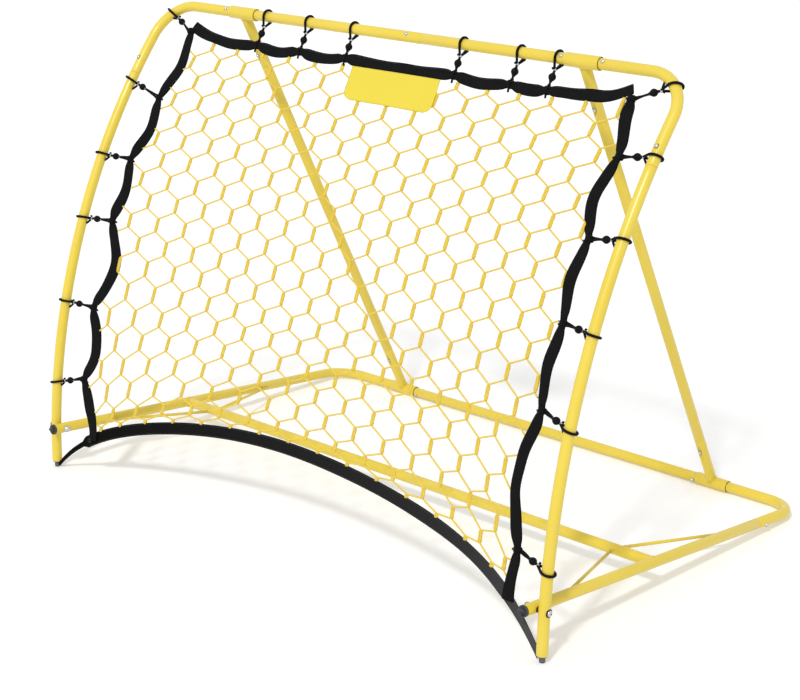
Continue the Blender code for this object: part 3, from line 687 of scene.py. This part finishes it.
for label, side in sides:
    nose = Vector((side * railX, pivotY, pivotZ)) + railForward * layout["railNose"]
    railCap = turned(label + "RailCap", nose, railForward, capProfile, capPlastic, 32)
    settle(railCap, "black_plastic", label + "_rail_cap")
    base = Vector((side * postX, footY, 0.0))
    footPlug = turned(label + "FootPlug", base, zAxis, pinProfile, pinPlastic, 28)
    settle(footPlug, "black_plastic", label + "_foot_plug")
    outward = xAxis * side
    line = Vector((0, pivotY, pivotZ))
    outer = postX + tubeRadius
    inner = railX - tubeRadius
    shank, crown = bolt["shank"], outer + bolt["height"]
    head = [(0.0, crown)]
    head += [(bolt["head"] * sin(t), outer + bolt["height"] * (0.15 + 0.85 * cos(t)))
             for t in spaced(0.2, pi / 2, 8)]
    head += [(bolt["head"], outer + 2 * hair), (shank, outer + hair), (shank, inner), (0.0, inner - hair)]
    washer = [(shank, outer + 3 * hair), (bolt["washer"] - 2 * hair, outer + 4 * hair),
              (bolt["washer"], outer + hair), (bolt["washer"], outer - bolt["washerHeight"]),
              (shank, outer - bolt["washerHeight"])]
    spacer = [(shank, postX - tubeRadius), (bolt["head"], postX - tubeRadius - hair),
              (bolt["head"], railX + tubeRadius + hair), (shank, railX + tubeRadius)]
    # Painted shade: a dark plug in the head's centre stands for the shade in its recess
    sunk = outer + bolt["height"] * 0.9
    recess = [(0.0, sunk), (bolt["recess"], sunk), (bolt["recess"] * 0.8, crown + hair),
              (0.0, crown + 2 * hair)]
    pieces = [turned(label + "PivotBolt", line, outward, head, bright, 28),
              turned("recess", line, outward, recess, shadowSteel, 12),
              turned("washer", line, outward, washer, shadowSteel, 28),
              turned("spacer", line, outward, spacer, shadowSteel, 20)]
    settle(joined(pieces), "zinc_steel", label + "_pivot_bolt")
    collar = inner - bolt["flangeHeight"]
    dome = bolt["nutSide"] + 4 * hair
    nut = [(0.0, inner - hair), (bolt["flange"], inner - 2 * hair), (bolt["flange"], collar),
           (bolt["nut"], collar - 2 * hair), (bolt["nut"], inner - bolt["nutSide"])]
    nut += [(bolt["nut"] * 0.8 * cos(t), inner - dome - (bolt["nutHeight"] - dome) * sin(t))
            for t in spaced(0.0, pi / 2 - 0.2, 6)]
    nut += [(0.0, inner - bolt["nutHeight"])]
    pivotNut = turned(label + "PivotNut", line, outward, nut, bright)
    settle(pivotNut, "zinc_steel", label + "_pivot_nut")
print("fittings turned")

# The net's surface, the rows and columns of its gaps, and the lines of its edges
net = {
    "pitch": 0.0668, "topRow": 0.766, "rowDrop": 0.0323, "rowGrowth": 0.00035, "evenRows": 10, "rows": 17,
    "halfColumns": 7.5, "reach": 9, "stretch": 0.00014, "sideShare": 0.30, "draw": 0.75, "edge": 0.0085,
    "strand": 0.0015, "halfWidth": 0.0028, "halfDepth": 0.0011, "crossings": 3.0, "braidStrand": 0.0015,
    "least": 0.002, "lean": 0.020, "leanRows": 6, "spread": 0.040, "drift": -0.012, "ease": 1.3,
    "fall": 0.1535, "fallRows": 6, "lastFall": 0.079,
}
edging = {
    "width": 0.0204, "gathered": 0.0100, "thickness": 0.0042, "reach": 0.012, "sideInset": 0.067,
    "tieDrop": 0.0485, "cornerInset": 0.0895, "cornerDrop": 0.041, "bend": 1.25,
    "topTies": [share * strutX for share in (-0.838, -0.563, -0.279, 0.365, 0.678, 0.876)],
    "upperTie": 0.722,
    "leftTies": [share * jointZ for share in (0.806, 0.651, 0.443, 0.232)],
    "rightTies": [share * jointZ for share in (1.017, 0.862, 0.681, 0.494, 0.200)],
    "topSags": ((0.035, 0.65), (0.06, 0.5), (0.05, 0.5), (0.012, 0.5), (0.045, 0.5), (0.045, 0.5),
                (0.005, 0.45)),
}
# Where each side tie holds the webbing, and how deep and how high it is drawn in below each one
holds = {
    "left": {"heights": (0.590, 0.480, 0.322, 0.187), "foot": 0.494, "upper": ((0.700, 0.518),),
             "draws": ((0.15, 0.5), (0.14, 0.5), (0.105, 0.45), (0.20, 0.5), (0.165, 0.55), (0.02, 0.5))},
    "right": {"heights": (0.738, 0.622, 0.5015, 0.374, 0.161), "foot": 0.526, "upper": (),
              "draws": ((0.03, 0.3), (0.16, 0.54), (0.095, 0.5), (0.075, 0.55), (0.116, 0.5), (0.01, 0.5))},
}
strap = {
    "rise": 0.175, "leftBow": 0.705, "rightBow": 0.444, "endPower": 8, "footInset": 0.0015, "width": 0.0225,
    "thickness": 0.0024, "rightStep": 0.522, "rightWidth": 0.0195, "rightTip": 0.012,
    "leftStep": 0.522, "leftWidth": 0.0105, "leftTip": 0.0065, "stepRun": 0.010, "tipInset": 0.006,
    "wave": 0.0005, "waveTurns": 31.0,
}


def curveRun(height):
    return postCurve - sqrt(postCurve ** 2 - height ** 2)


def netSurface(x, z):
    chord = (topY - footY) / topZ * z
    run = curveRun(z)
    share = net["draw"] * max(0.0, 1.0 - (x / postX) ** 2)
    return Vector((x, footY + run + share * (chord - run), z))


def netFront(x, z):
    step = 0.001
    across = netSurface(x + step, z) - netSurface(x - step, z)
    upward = netSurface(x, z + step) - netSurface(x, z - step)
    return across.cross(upward).normalized()


def strapZ(x):
    bow = strap["rightBow"] if x > 0 else strap["leftBow"]
    share = min(1.0, abs(x) / (postX - strap["footInset"]))
    return strap["rise"] * (1 - bow * share ** 2 - (1 - bow) * share ** strap["endPower"])


# Value along a row of ties, drawn in between them by a (ratio, place of the deepest point) for each span
def scalloped(at, knots, draws):
    for (first, low), (last, high), (ratio, deepest) in zip(knots, knots[1:], draws):
        if at <= last or last == knots[-1][0]:
            share = min(max((at - first) / (last - first), 0.0), 1.0)
            skewed = share ** (log(0.5) / log(deepest))
            drawn = ratio * (last - first) * sin(pi * skewed) ** edging["bend"]
            return low + (high - low) * share - drawn


def slopeFactor(line, at):
    step = 0.001
    return hypot(1.0, (line(at + step) - line(at - step)) / (2 * step))


apexLift = layout["topBend"] * (1 - sqrt(0.5))
cornerX = postX - edging["cornerInset"]
cornerZ = topZ - edging["cornerDrop"]
borderZ = topZ - edging["tieDrop"]
tieX = postX - edging["sideInset"]


def bottomEdgeZ(x):
    return strapZ(x) + (strap["width"] / 2 - net["strand"]) * slopeFactor(strapZ, x)


topKnots = [(-cornerX, cornerZ)] + [(x, borderZ) for x in edging["topTies"]] + [(cornerX, cornerZ)]
sideKnots = {}
sideDraws = {}
for label, side in sides:
    heights = holds[label]["heights"]
    footX = holds[label]["foot"]
    sideKnots[side] = [(bottomEdgeZ(side * footX), footX)] + [(z, tieX) for z in reversed(heights)]
    sideKnots[side] += list(holds[label]["upper"]) + [(cornerZ, cornerX)]
    sideDraws[side] = [(ratio, 1 - deepest) for ratio, deepest in reversed(holds[label]["draws"])]


def topLine(x):
    return scalloped(x, topKnots, edging["topSags"])


# Rise of the top border's ends past the corner ties
topEnd = {"x": 0.5065, "tipFrom": 0.445, "leftTip": 0.008, "rightTip": 0.0135}


def topRise(x):
    tipped = max(0.0, (abs(x) - topEnd["tipFrom"]) / (topEnd["x"] - topEnd["tipFrom"]))
    return topEnd["rightTip" if x > 0 else "leftTip"] * tipped ** 2


def sideLine(side, z):
    return scalloped(z, sideKnots[side], sideDraws[side])


# Share of the way from the last even row down to the strap
def rowFall(row):
    past = row - net["evenRows"]
    slow = max(0.0, past - net["fallRows"])
    return min(1.0, net["fall"] * (past - slow) + net["lastFall"] * slow)


# Place of a net knot: even rows above, rows that follow the strap below, and columns that spread near it
def netKnot(column, row):
    share = min(max(column / net["halfColumns"], -1.0), 1.0)
    x = net["pitch"] * column + net["stretch"] * column ** 2
    x += net["lean"] * max(0.0, 1 - row / net["leanRows"]) ** net["ease"]
    past = max(0.0, row - net["evenRows"]) / (net["rows"] - net["evenRows"])
    x += past ** net["ease"] * (net["drift"] + net["spread"] * share) * (1 - share ** 6)
    even = min(row, net["evenRows"])
    z = net["topRow"] - net["rowDrop"] * even - net["rowGrowth"] * even ** 2
    if past:
        z += (bottomEdgeZ(x) - z) * rowFall(row)
    return x, z


def withinBorders(x, z):
    side = 1 if x > 0 else -1
    return abs(x) < sideLine(side, min(max(z, sideKnots[side][0][0]), cornerZ)) - net["edge"]


# Uprights are flat braids; the slanting strands run on in zigzags from border to border
uprights = []
zigzags = []
share = net["sideShare"]
for row in range(-1, net["rows"] + 1):
    shift = 0.5 * ((row + 1) % 2)
    for i in range(-net["reach"], net["reach"]):
        column = i + shift
        low = netKnot(column, min(row + share, net["rows"]))
        high = netKnot(column, row - share)
        if not withinBorders(*low) or not withinBorders(*high):
            continue
        if row < 0:
            high = (low[0], topLine(low[0]) + topRise(low[0]) - net["edge"])
        ends = [(netSurface(*spot), net["braidStrand"]) for spot in (low, high)]
        if (ends[1][0] - ends[0][0]).length > net["least"]:
            uprights.append(ends)
for row in range(-1, net["rows"]):
    line = []
    for i in range(-2 * net["reach"], 2 * net["reach"] + 1):
        even = (i + row) % 2 == 1
        line.append(netKnot(i / 2, row + share if even else row + 1 - share))
    fine = []
    for first, last in zip(line, line[1:]):
        for t in spaced(0.0, 1.0, 9)[:-1]:
            x = first[0] + (last[0] - first[0]) * t
            z = first[1] + (last[1] - first[1]) * t
            if withinBorders(x, z):
                fine.append((netSurface(x, z), net["strand"]))
    zigzags.append(fine)
netBraids = grow("netBraids", pathObject("netBraids", uprights), braidTree, HalfWidth=net["halfWidth"],
                 HalfDepth=net["halfDepth"], Crossings=net["crossings"],
                 StrandRadius=net["braidStrand"], Segments=20, Sides=5, Finish=twine)
netStrands = swept("netStrands", zigzags, twine, 7)
settle(netBraids, "net_twine", "net")
settle(netStrands, "net_twine")
print("net braided:", len(uprights), "uprights")


def meshPiece(name, work, material):
    for face in work.faces:
        face.smooth = True
    mesh = bpy.data.meshes.new(name)
    work.to_mesh(mesh)
    work.free()
    mesh.materials.append(material)
    return meshObject(name, mesh)


def runLengths(path):
    total = [0.0]
    for (first, _), (last, _) in zip(path, path[1:]):
        total.append(total[-1] + (last - first).length)
    return total


def acrossAt(path, i):
    along = path[min(i + 1, len(path) - 1)][0] - path[max(i - 1, 0)][0]
    return path[i][1].cross(along.normalized()).normalized()


# Webbing: a flat closed tube lofted along a path of (place, front), lifted by its pleats
def loft(name, path, widths, thickness, pleat, material, ringPoints=20):
    work = bmesh.new()
    layer = work.loops.layers.uv.new("sweepUV")
    runs = runLengths(path)
    rings = []
    for i, (place, front) in enumerate(path):
        across = acrossAt(path, i)
        ring = []
        for k in range(ringPoints):
            turn = 2 * pi * k / ringPoints
            wide = copysign(abs(cos(turn)) ** 0.55, cos(turn))
            deep = copysign(abs(sin(turn)) ** 0.75, sin(turn))
            lift = thickness[i] / 2 * deep + pleat(wide, runs[i])
            ring.append(work.verts.new(place + across * widths[i] / 2 * wide + front * lift))
        rings.append(ring)
    for i, (lower, upper) in enumerate(zip(rings, rings[1:])):
        for k in range(ringPoints):
            n = (k + 1) % ringPoints
            face = work.faces.new((lower[k], lower[n], upper[n], upper[k]))
            spots = ((runs[i], k), (runs[i], k + 1), (runs[i + 1], k + 1), (runs[i + 1], k))
            for corner, (u, v) in zip(face.loops, spots):
                corner[layer].uv = (u, v / ringPoints)
    work.faces.new(rings[0][::-1])
    work.faces.new(rings[-1])
    bmesh.ops.recalc_face_normals(work, faces=work.faces)
    return meshPiece(name, work, material)


def gatheredWidth(near, full, drawn):
    return full - (full - drawn) * exp(-(near / edging["reach"]) ** 2)


# Pleats run out of each tie, and long soft waves pass along the webbing
folds = {
    "height": 0.0013, "reach": 0.024, "perWidth": 2.6, "tilt": 0.0011, "tiltTurns": 47.0, "wave": 0.0008,
    "waveTurns": 93.0, "edge": 0.035, "edgeTurns": 61.0, "thicker": 1.9,
}


def pleats(ties, seed):
    def lift(wide, run):
        near = min(abs(run - tie) for tie in ties)
        fold = folds["height"] * exp(-(near / folds["reach"]) ** 2)
        fold *= sin(folds["perWidth"] * pi * wide + seed)
        tilt = folds["tilt"] * sin(run * folds["tiltTurns"] + seed) * wide
        return fold + tilt + folds["wave"] * sin(run * folds["waveTurns"] + 2.1 * seed)
    return lift


def stitchLine(path, widths, thickness, share, sense):
    line = []
    for i, (place, front) in enumerate(path):
        lift = front * sense * (thickness[i] / 2 + hair)
        line.append((place + acrossAt(path, i) * widths[i] / 2 * share + lift, 1.0))
    return line


def makeTape(name, path, ties, node, full, seed):
    runs = runLengths(path)
    tieRuns = [runs[min(range(len(path)), key=lambda k: (path[k][0] - tie).length)] for tie in ties]
    widths = []
    thickness = []
    for run in runs:
        near = min(abs(run - tie) for tie in tieRuns)
        edge = 1.0 + folds["edge"] * sin(run * folds["edgeTurns"] + seed)
        widths.append(gatheredWidth(near, full * edge, edging["gathered"]))
        thickness.append(gatheredWidth(near, edging["thickness"], edging["thickness"] * folds["thicker"]))
    piece = loft(name, path, widths, thickness, pleats(tieRuns, seed), borderWebbing)
    settle(piece, "black_webbing", node)
    return widths, thickness


# The top border's ends are cut square and tip up past the corner ties
topPath = []
for x in spaced(-topEnd["x"], topEnd["x"], 300):
    z = topLine(x) + topRise(x)
    topPath.append((netSurface(x, z), netFront(x, z)))
topHolds = [netSurface(x, borderZ) for x in edging["topTies"]]
topWidths, topThick = makeTape("topBorder", topPath, topHolds, "top_border", edging["width"], 0.7)

# The side borders' lower ends lap over the strap as far as its middle
lap = {"under": 0.002, "above": 0.001, "run": 0.03, "lift": 0.0030, "wider": 1.1, "seed": 1.9}
for label, side in sides:
    footZ, footX = sideKnots[side][0]
    sidePath = []
    for z in spaced(strapZ(side * footX) - lap["under"], cornerZ + lap["above"], 240):
        x = side * sideLine(side, max(z, footZ))
        over = max(0.0, 1 - max(0.0, z - footZ) / lap["run"])
        front = netFront(x, z)
        sidePath.append((netSurface(x, z) + front * lap["lift"] * over, front))
    ends = [netSurface(side * x, z) for z, x in sideKnots[side][1:]]
    wide = edging["width"] * lap["wider"]
    makeTape(label + "Border", sidePath, ends, label + "_border", wide, lap["seed"] * side)
print("borders lofted")

# Bow strap from foot to foot, stitched along both edges
strapTip = postX - strap["tipInset"]
stitch = {"pitch": 0.0042, "length": 0.0014, "thread": 0.00035, "onStrap": 0.8, "onTop": 0.72}


# Past the sewn corners the strap steps in and tapers to its foot pins
def strapWidth(x):
    key = "right" if x > 0 else "left"
    past = abs(x) - strap[key + "Step"]
    step = min(1.0, max(0.0, 1 + past / strap["stepRun"]))
    taper = max(0.0, past) / (strapTip - strap[key + "Step"])
    ended = strap[key + "Width"] + (strap[key + "Tip"] - strap[key + "Width"]) * taper
    return strap["width"] + (ended - strap["width"]) * step


strapPath = []
strapWidths = []
for x in [strapTip * sin(pi / 2 * t) for t in spaced(-1.0, 1.0, 260)]:
    strapPath.append((netSurface(x, strapZ(x)), netFront(x, strapZ(x))))
    strapWidths.append(strapWidth(x))
strapThick = [strap["thickness"]] * len(strapPath)


def strapWave(wide, run):
    return strap["wave"] * sin(run * strap["waveTurns"]) * wide


bowStrap = loft("bowStrap", strapPath, strapWidths, strapThick, strapWave, strapWebbing)
settle(bowStrap, "black_webbing", "bow_strap")
stitchRows = [stitchLine(strapPath, strapWidths, strapThick, share, sense)
              for share in (-stitch["onStrap"], stitch["onStrap"]) for sense in (-1, 1)]
stitchRows += [stitchLine(topPath, topWidths, topThick, stitch["onTop"], sense) for sense in (-1, 1)]
stitching = grow("stitching", pathObject("stitching", stitchRows), stitchTree, Pitch=stitch["pitch"],
                 StitchLength=stitch["length"], Thread=stitch["thread"], Finish=stitchThread)
settle(stitching, "black_webbing")
print("strap and stitches made")

# Label patch: plain cloth that hangs from the top border
patch = {
    "width": 0.205, "height": 0.054, "x": 0.018, "lap": -0.0105, "standOff": 0.0030, "corner": 0.016,
    "thickness": 0.0010, "columns": 64, "rows": 18, "wave": 0.0011, "waveTurns": 55.0, "ripple": 0.0006,
}


def makeLabel():
    work = bmesh.new()
    layer = work.loops.layers.uv.new("sweepUV")
    columns, rows = patch["columns"], patch["rows"]
    grid = []
    for i in range(rows + 1):
        line = []
        drop = patch["height"] * i / rows
        fromEnd = max(0.0, drop - (patch["height"] - patch["corner"]))
        trim = patch["corner"] - sqrt(max(patch["corner"] ** 2 - fromEnd ** 2, 0.0))
        half = patch["width"] / 2 - trim
        for j in range(columns + 1):
            x = patch["x"] + half * (2 * j / columns - 1)
            z = borderZ + patch["lap"] - drop
            wave = patch["wave"] * sin(x * patch["waveTurns"] + 0.6) * i / rows
            wave += patch["ripple"] * sin(x * 24.0 + drop * 70.0)
            line.append(work.verts.new(netSurface(x, z) + netFront(x, z) * (patch["standOff"] + wave)))
        grid.append(line)
    for i, (upper, lower) in enumerate(zip(grid, grid[1:])):
        for j in range(columns):
            face = work.faces.new((upper[j], lower[j], lower[j + 1], upper[j + 1]))
            spots = ((j, i), (j, i + 1), (j + 1, i + 1), (j + 1, i))
            for corner, (a, b) in zip(face.loops, spots):
                corner[layer].uv = (patch["width"] * a / columns, b / rows)
    piece = meshPiece("labelPatch", work, labelCloth)
    solid = piece.modifiers.new("thickness", "SOLIDIFY")
    solid.thickness = patch["thickness"]
    solid.offset = 0.0
    return piece


labelPiece = makeLabel()
settle(labelPiece, "label_cloth", "label_patch")

# Ties: elastic loop, prongs, crimp, bead, link and wrap; each run is shares of three axes
tie = {
    "cord": 0.0022, "crimpAt": 0.0205, "crimp": 0.0034, "legs": 0.0016, "bead": 0.0064, "beadLength": 0.0165,
    "beadAt": 0.0340, "link": 0.0019, "linkSink": 0.002, "linkBow": 0.0012, "linkLap": 0.0005, "wrap": 0.0016,
    "wrapPitch": 0.0027, "prong": 0.014, "prongBow": 0.003, "stub": 0.006, "tail": 0.008, "tailFront": 0.001,
    "span": 0.0055, "belowCorner": 0.006, "prongRun": (0.85, -0.62, 0.15), "stubRun": (-0.9, -0.35, -0.2),
    "tailRun": (-1.0, 0.35, 0.2),
}
crimpShape = ((0.6, -0.0021), (0.9, -0.0020), (1.0, -0.0014), (1.0, 0.0014), (0.9, 0.0020), (0.6, 0.0021))
dotShape = ((0.0, -0.0022), (0.0020, -0.0021), (0.0023, -0.0008), (0.0020, 0.0012), (0.0, 0.0013))


def capped(points, radius):
    return ended(points, radius, ((-2 * hair, 0.0), (-hair, radius * 0.7), (0.0, radius)))


def straight(start, key, steps, *axes):
    run = Vector()
    for share, axis in zip(tie[key + "Run"], axes):
        run += axis * share
    run = run.normalized() * tie[key]
    return [start + run * t for t in spaced(0.0, 1.0, steps)]


def makeTie(name, node, tubePoint, tubeAxis, hold, holdAxis, sense):
    pull = (hold - tubePoint).normalized()
    out = (pull - tubeAxis * pull.dot(tubeAxis)).normalized()
    beside = tubeAxis.cross(out)
    square = pull.dot(out)
    crimpRun = tie["crimpAt"] / square
    beadRun = tie["beadAt"] / square
    crimpPlace = tubePoint + pull * crimpRun
    ringRadius = tubeRadius + tie["cord"] + hair
    opened = acos(ringRadius / tie["crimpAt"])
    slanted = (out + tubeAxis * pull.dot(tubeAxis) / square) * ringRadius
    loop = [crimpPlace + beside * tie["legs"]]
    loop += [oval(tubePoint, slanted, beside * ringRadius, turn)
             for turn in spaced(opened, 2 * pi - opened, 30)]
    loop.append(crimpPlace - beside * tie["legs"])
    prong = straight(crimpPlace, "prong", 6, tubeAxis * sense, out, beside)
    prong = [place - out * tie["prongBow"] * t * t for place, t in zip(prong, spaced(0.0, 1.0, 6))]
    stub = straight(crimpPlace, "stub", 4, tubeAxis * sense, out, beside)
    beadLow = beadRun - tie["beadLength"] / 2
    beadHigh = beadRun + tie["beadLength"] / 2
    beadEnd = tubePoint + pull * beadHigh
    toward = tubePoint - hold
    toward = (toward - holdAxis * toward.dot(holdAxis)).normalized()
    front = holdAxis.cross(toward).normalized()
    halfWide = edging["gathered"] / 2 + tie["wrap"] * 0.7
    halfDeep = edging["thickness"] * 0.95 + tie["wrap"] * 0.8
    cords = [capped(loop, tie["cord"]), capped(prong, tie["cord"] * 0.9), capped(stub, tie["cord"] * 0.9)]
    cords.append(capped([crimpPlace, tubePoint + pull * beadRun], tie["cord"]))
    for k in (-1, 0, 1):
        ring = []
        for i in range(33):
            middlePlace = hold + holdAxis * tie["wrapPitch"] * (k + 0.5 * i / 32 - 0.25)
            ring.append(oval(middlePlace, toward * halfWide, front * halfDeep, 2 * pi * i / 32))
        cords.append(capped(ring, tie["wrap"]))
    for k in (-1, 1):
        start = beadEnd - pull * tie["linkSink"]
        end = hold + toward * (halfWide - tie["linkLap"]) + holdAxis * tie["wrapPitch"] * k * 0.8
        bow = front * tie["linkBow"] * k
        link = [start + (end - beadEnd) * t + bow * sin(pi * t) for t in spaced(0.0, 1.0, 7)]
        cords.append(capped(link, tie["link"]))
    tailStart = hold - toward * halfWide + front * tie["tailFront"]
    tail = straight(tailStart, "tail", 4, toward, holdAxis * sense, front)
    cords.append(capped(tail, tie["wrap"] * 1.15))
    body = swept(name, cords, elastic, 9)
    egg = [(0.0, beadLow)]
    for t in spaced(0.02, 0.98, 17):
        swell = max(0.34, sin(pi * t ** 0.85)) ** 0.8
        egg.append((tie["bead"] * swell, beadLow + tie["beadLength"] * t))
    egg.append((0.0, beadHigh))
    bead = turned("bead", tubePoint, pull, egg, beadPlastic, 18)
    rings = [[(tubePoint + pull * (crimpRun + step), tie["crimp"] * share) for share, step in crimpShape],
             [(tubePoint + pull * (beadHigh + step), radius) for radius, step in dotShape]]
    crimps = swept("crimps", rings, bright, 16)
    nodes = [node] if node else []
    settle(joined([body, bead, crimps]), "black_elastic", *nodes)


def topRun(x):
    low, high = [netSurface(at, topLine(at)) for at in (x - tie["span"], x + tie["span"])]
    return (high - low).normalized()


def sideRun(side, z):
    low, high = [netSurface(side * sideLine(side, at), at) for at in (z - tie["span"], z + tie["span"])]
    return (high - low).normalized()


def postTie(name, node, side, postZ, holdX, holdZ):
    angle = asin(postZ / postCurve)
    up = Vector((0, sin(angle), cos(angle)))
    hold = netSurface(side * holdX, holdZ)
    makeTie(name, node, postPoint(side, angle), up, hold, sideRun(side, holdZ), -1)


for i, x in enumerate(edging["topTies"], 1):
    makeTie(f"topTie{i}", f"top_tie_{i}", topBarAt(x), xAxis, netSurface(x, borderZ), topRun(x), 1)
for label, side in sides:
    for i, (postZ, holdZ) in enumerate(zip(edging[label + "Ties"], holds[label]["heights"]), 1):
        postTie(f"{label}Tie{i}", f"{label}_tie_{i}", side, postZ, tieX, holdZ)
    for holdZ, holdX in holds[label]["upper"]:
        postTie(label + "UpperTie", None, side, edging["upperTie"], holdX, holdZ)
    inward = xAxis * -side
    apex = topBarAt(side * postX) + (inward - postUp) * apexLift
    makeTie(label + "CornerTie", label + "_corner_tie", apex, (inward + postUp).normalized(),
            netSurface(side * cornerX, cornerZ), sideRun(side, cornerZ - tie["belowCorner"]), side)
print("ties made")

# Eyelet in the left lower corner of the webbing
eyelet = {"inset": 0.006, "front": 0.0055, "radius": 0.0036, "thickness": 0.0010}
eyeletX = -holds["left"]["foot"] - eyelet["inset"]
eyeletZ = strapZ(eyeletX)
eyeletPlace = netSurface(eyeletX, eyeletZ) + netFront(eyeletX, eyeletZ) * eyelet["front"]
eyeletRing = [(oval(eyeletPlace, xAxis * eyelet["radius"], zAxis * eyelet["radius"], t), eyelet["thickness"])
              for t in spaced(0.0, 2 * pi, 25)[:-1]]
settle(swept("cornerEyelet", [eyeletRing], shadowSteel, 8, True), "zinc_steel")

# Floor, world and lamp
stage = {
    "reach": 40.0, "glow": 2.1, "glowShare": 0.10, "sky": 0.64, "sun": 1.45, "sunFrom": (1.5, -4.4, 4.7),
    "sunAngle": 6,
}


# One for the rays that see the backdrop, nought for the rays that light the object
def seenRays(tree):
    rays = put(tree, "ShaderNodeLightPath")
    seen = rays["Is Camera Ray"]
    for extra in ("Is Glossy Ray", "Is Transmission Ray"):
        seen = maths(tree, "MAXIMUM", seen, rays[extra])
    return seen


floorFinish, floorTree = newFinish("paleFloor", (1, 1, 1), 0.9)
glow = put(floorTree, "ShaderNodeEmission", {"Strength": stage["glow"]})[0]
glowShare = times(floorTree, seenRays(floorTree), stage["glowShare"])
plain = floorTree.nodes["Principled BSDF"].outputs[0]
lit = put(floorTree, "ShaderNodeMixShader", {0: glowShare, 1: plain, 2: glow})[0]
floorTree.links.new(lit, floorTree.nodes["Material Output"].inputs[0])
reach = stage["reach"]
floorMesh = bpy.data.meshes.new("floor")
floorMesh.from_pydata([(-reach, -reach, 0), (reach, -reach, 0), (reach, reach, 0), (-reach, reach, 0)], [],
                      [(0, 1, 2, 3)])
floorMesh.materials.append(floorFinish)
floor = meshObject("floor", floorMesh)
world = bpy.data.worlds.new("studio")
scene.world = world
world.use_nodes = True
worldTree = world.node_tree
sky = worldTree.nodes["Background"].inputs
sky["Color"].default_value = (1, 1, 1, 1)
level = put(worldTree, "ShaderNodeMapRange", {0: seenRays(worldTree), 3: stage["sky"], 4: 1.0})[0]
worldTree.links.new(level, sky["Strength"])
sun = bpy.data.lights.new("keySun", "SUN")
sun.energy = stage["sun"]
sun.angle = radians(stage["sunAngle"])
lamp = bpy.data.objects.new("keySun", sun)
scene.collection.objects.link(lamp)
lamp.rotation_euler = (-Vector(stage["sunFrom"])).to_track_quat("-Z", "Y").to_euler()
scene.view_settings.view_transform = "Standard"
print("stage lit")
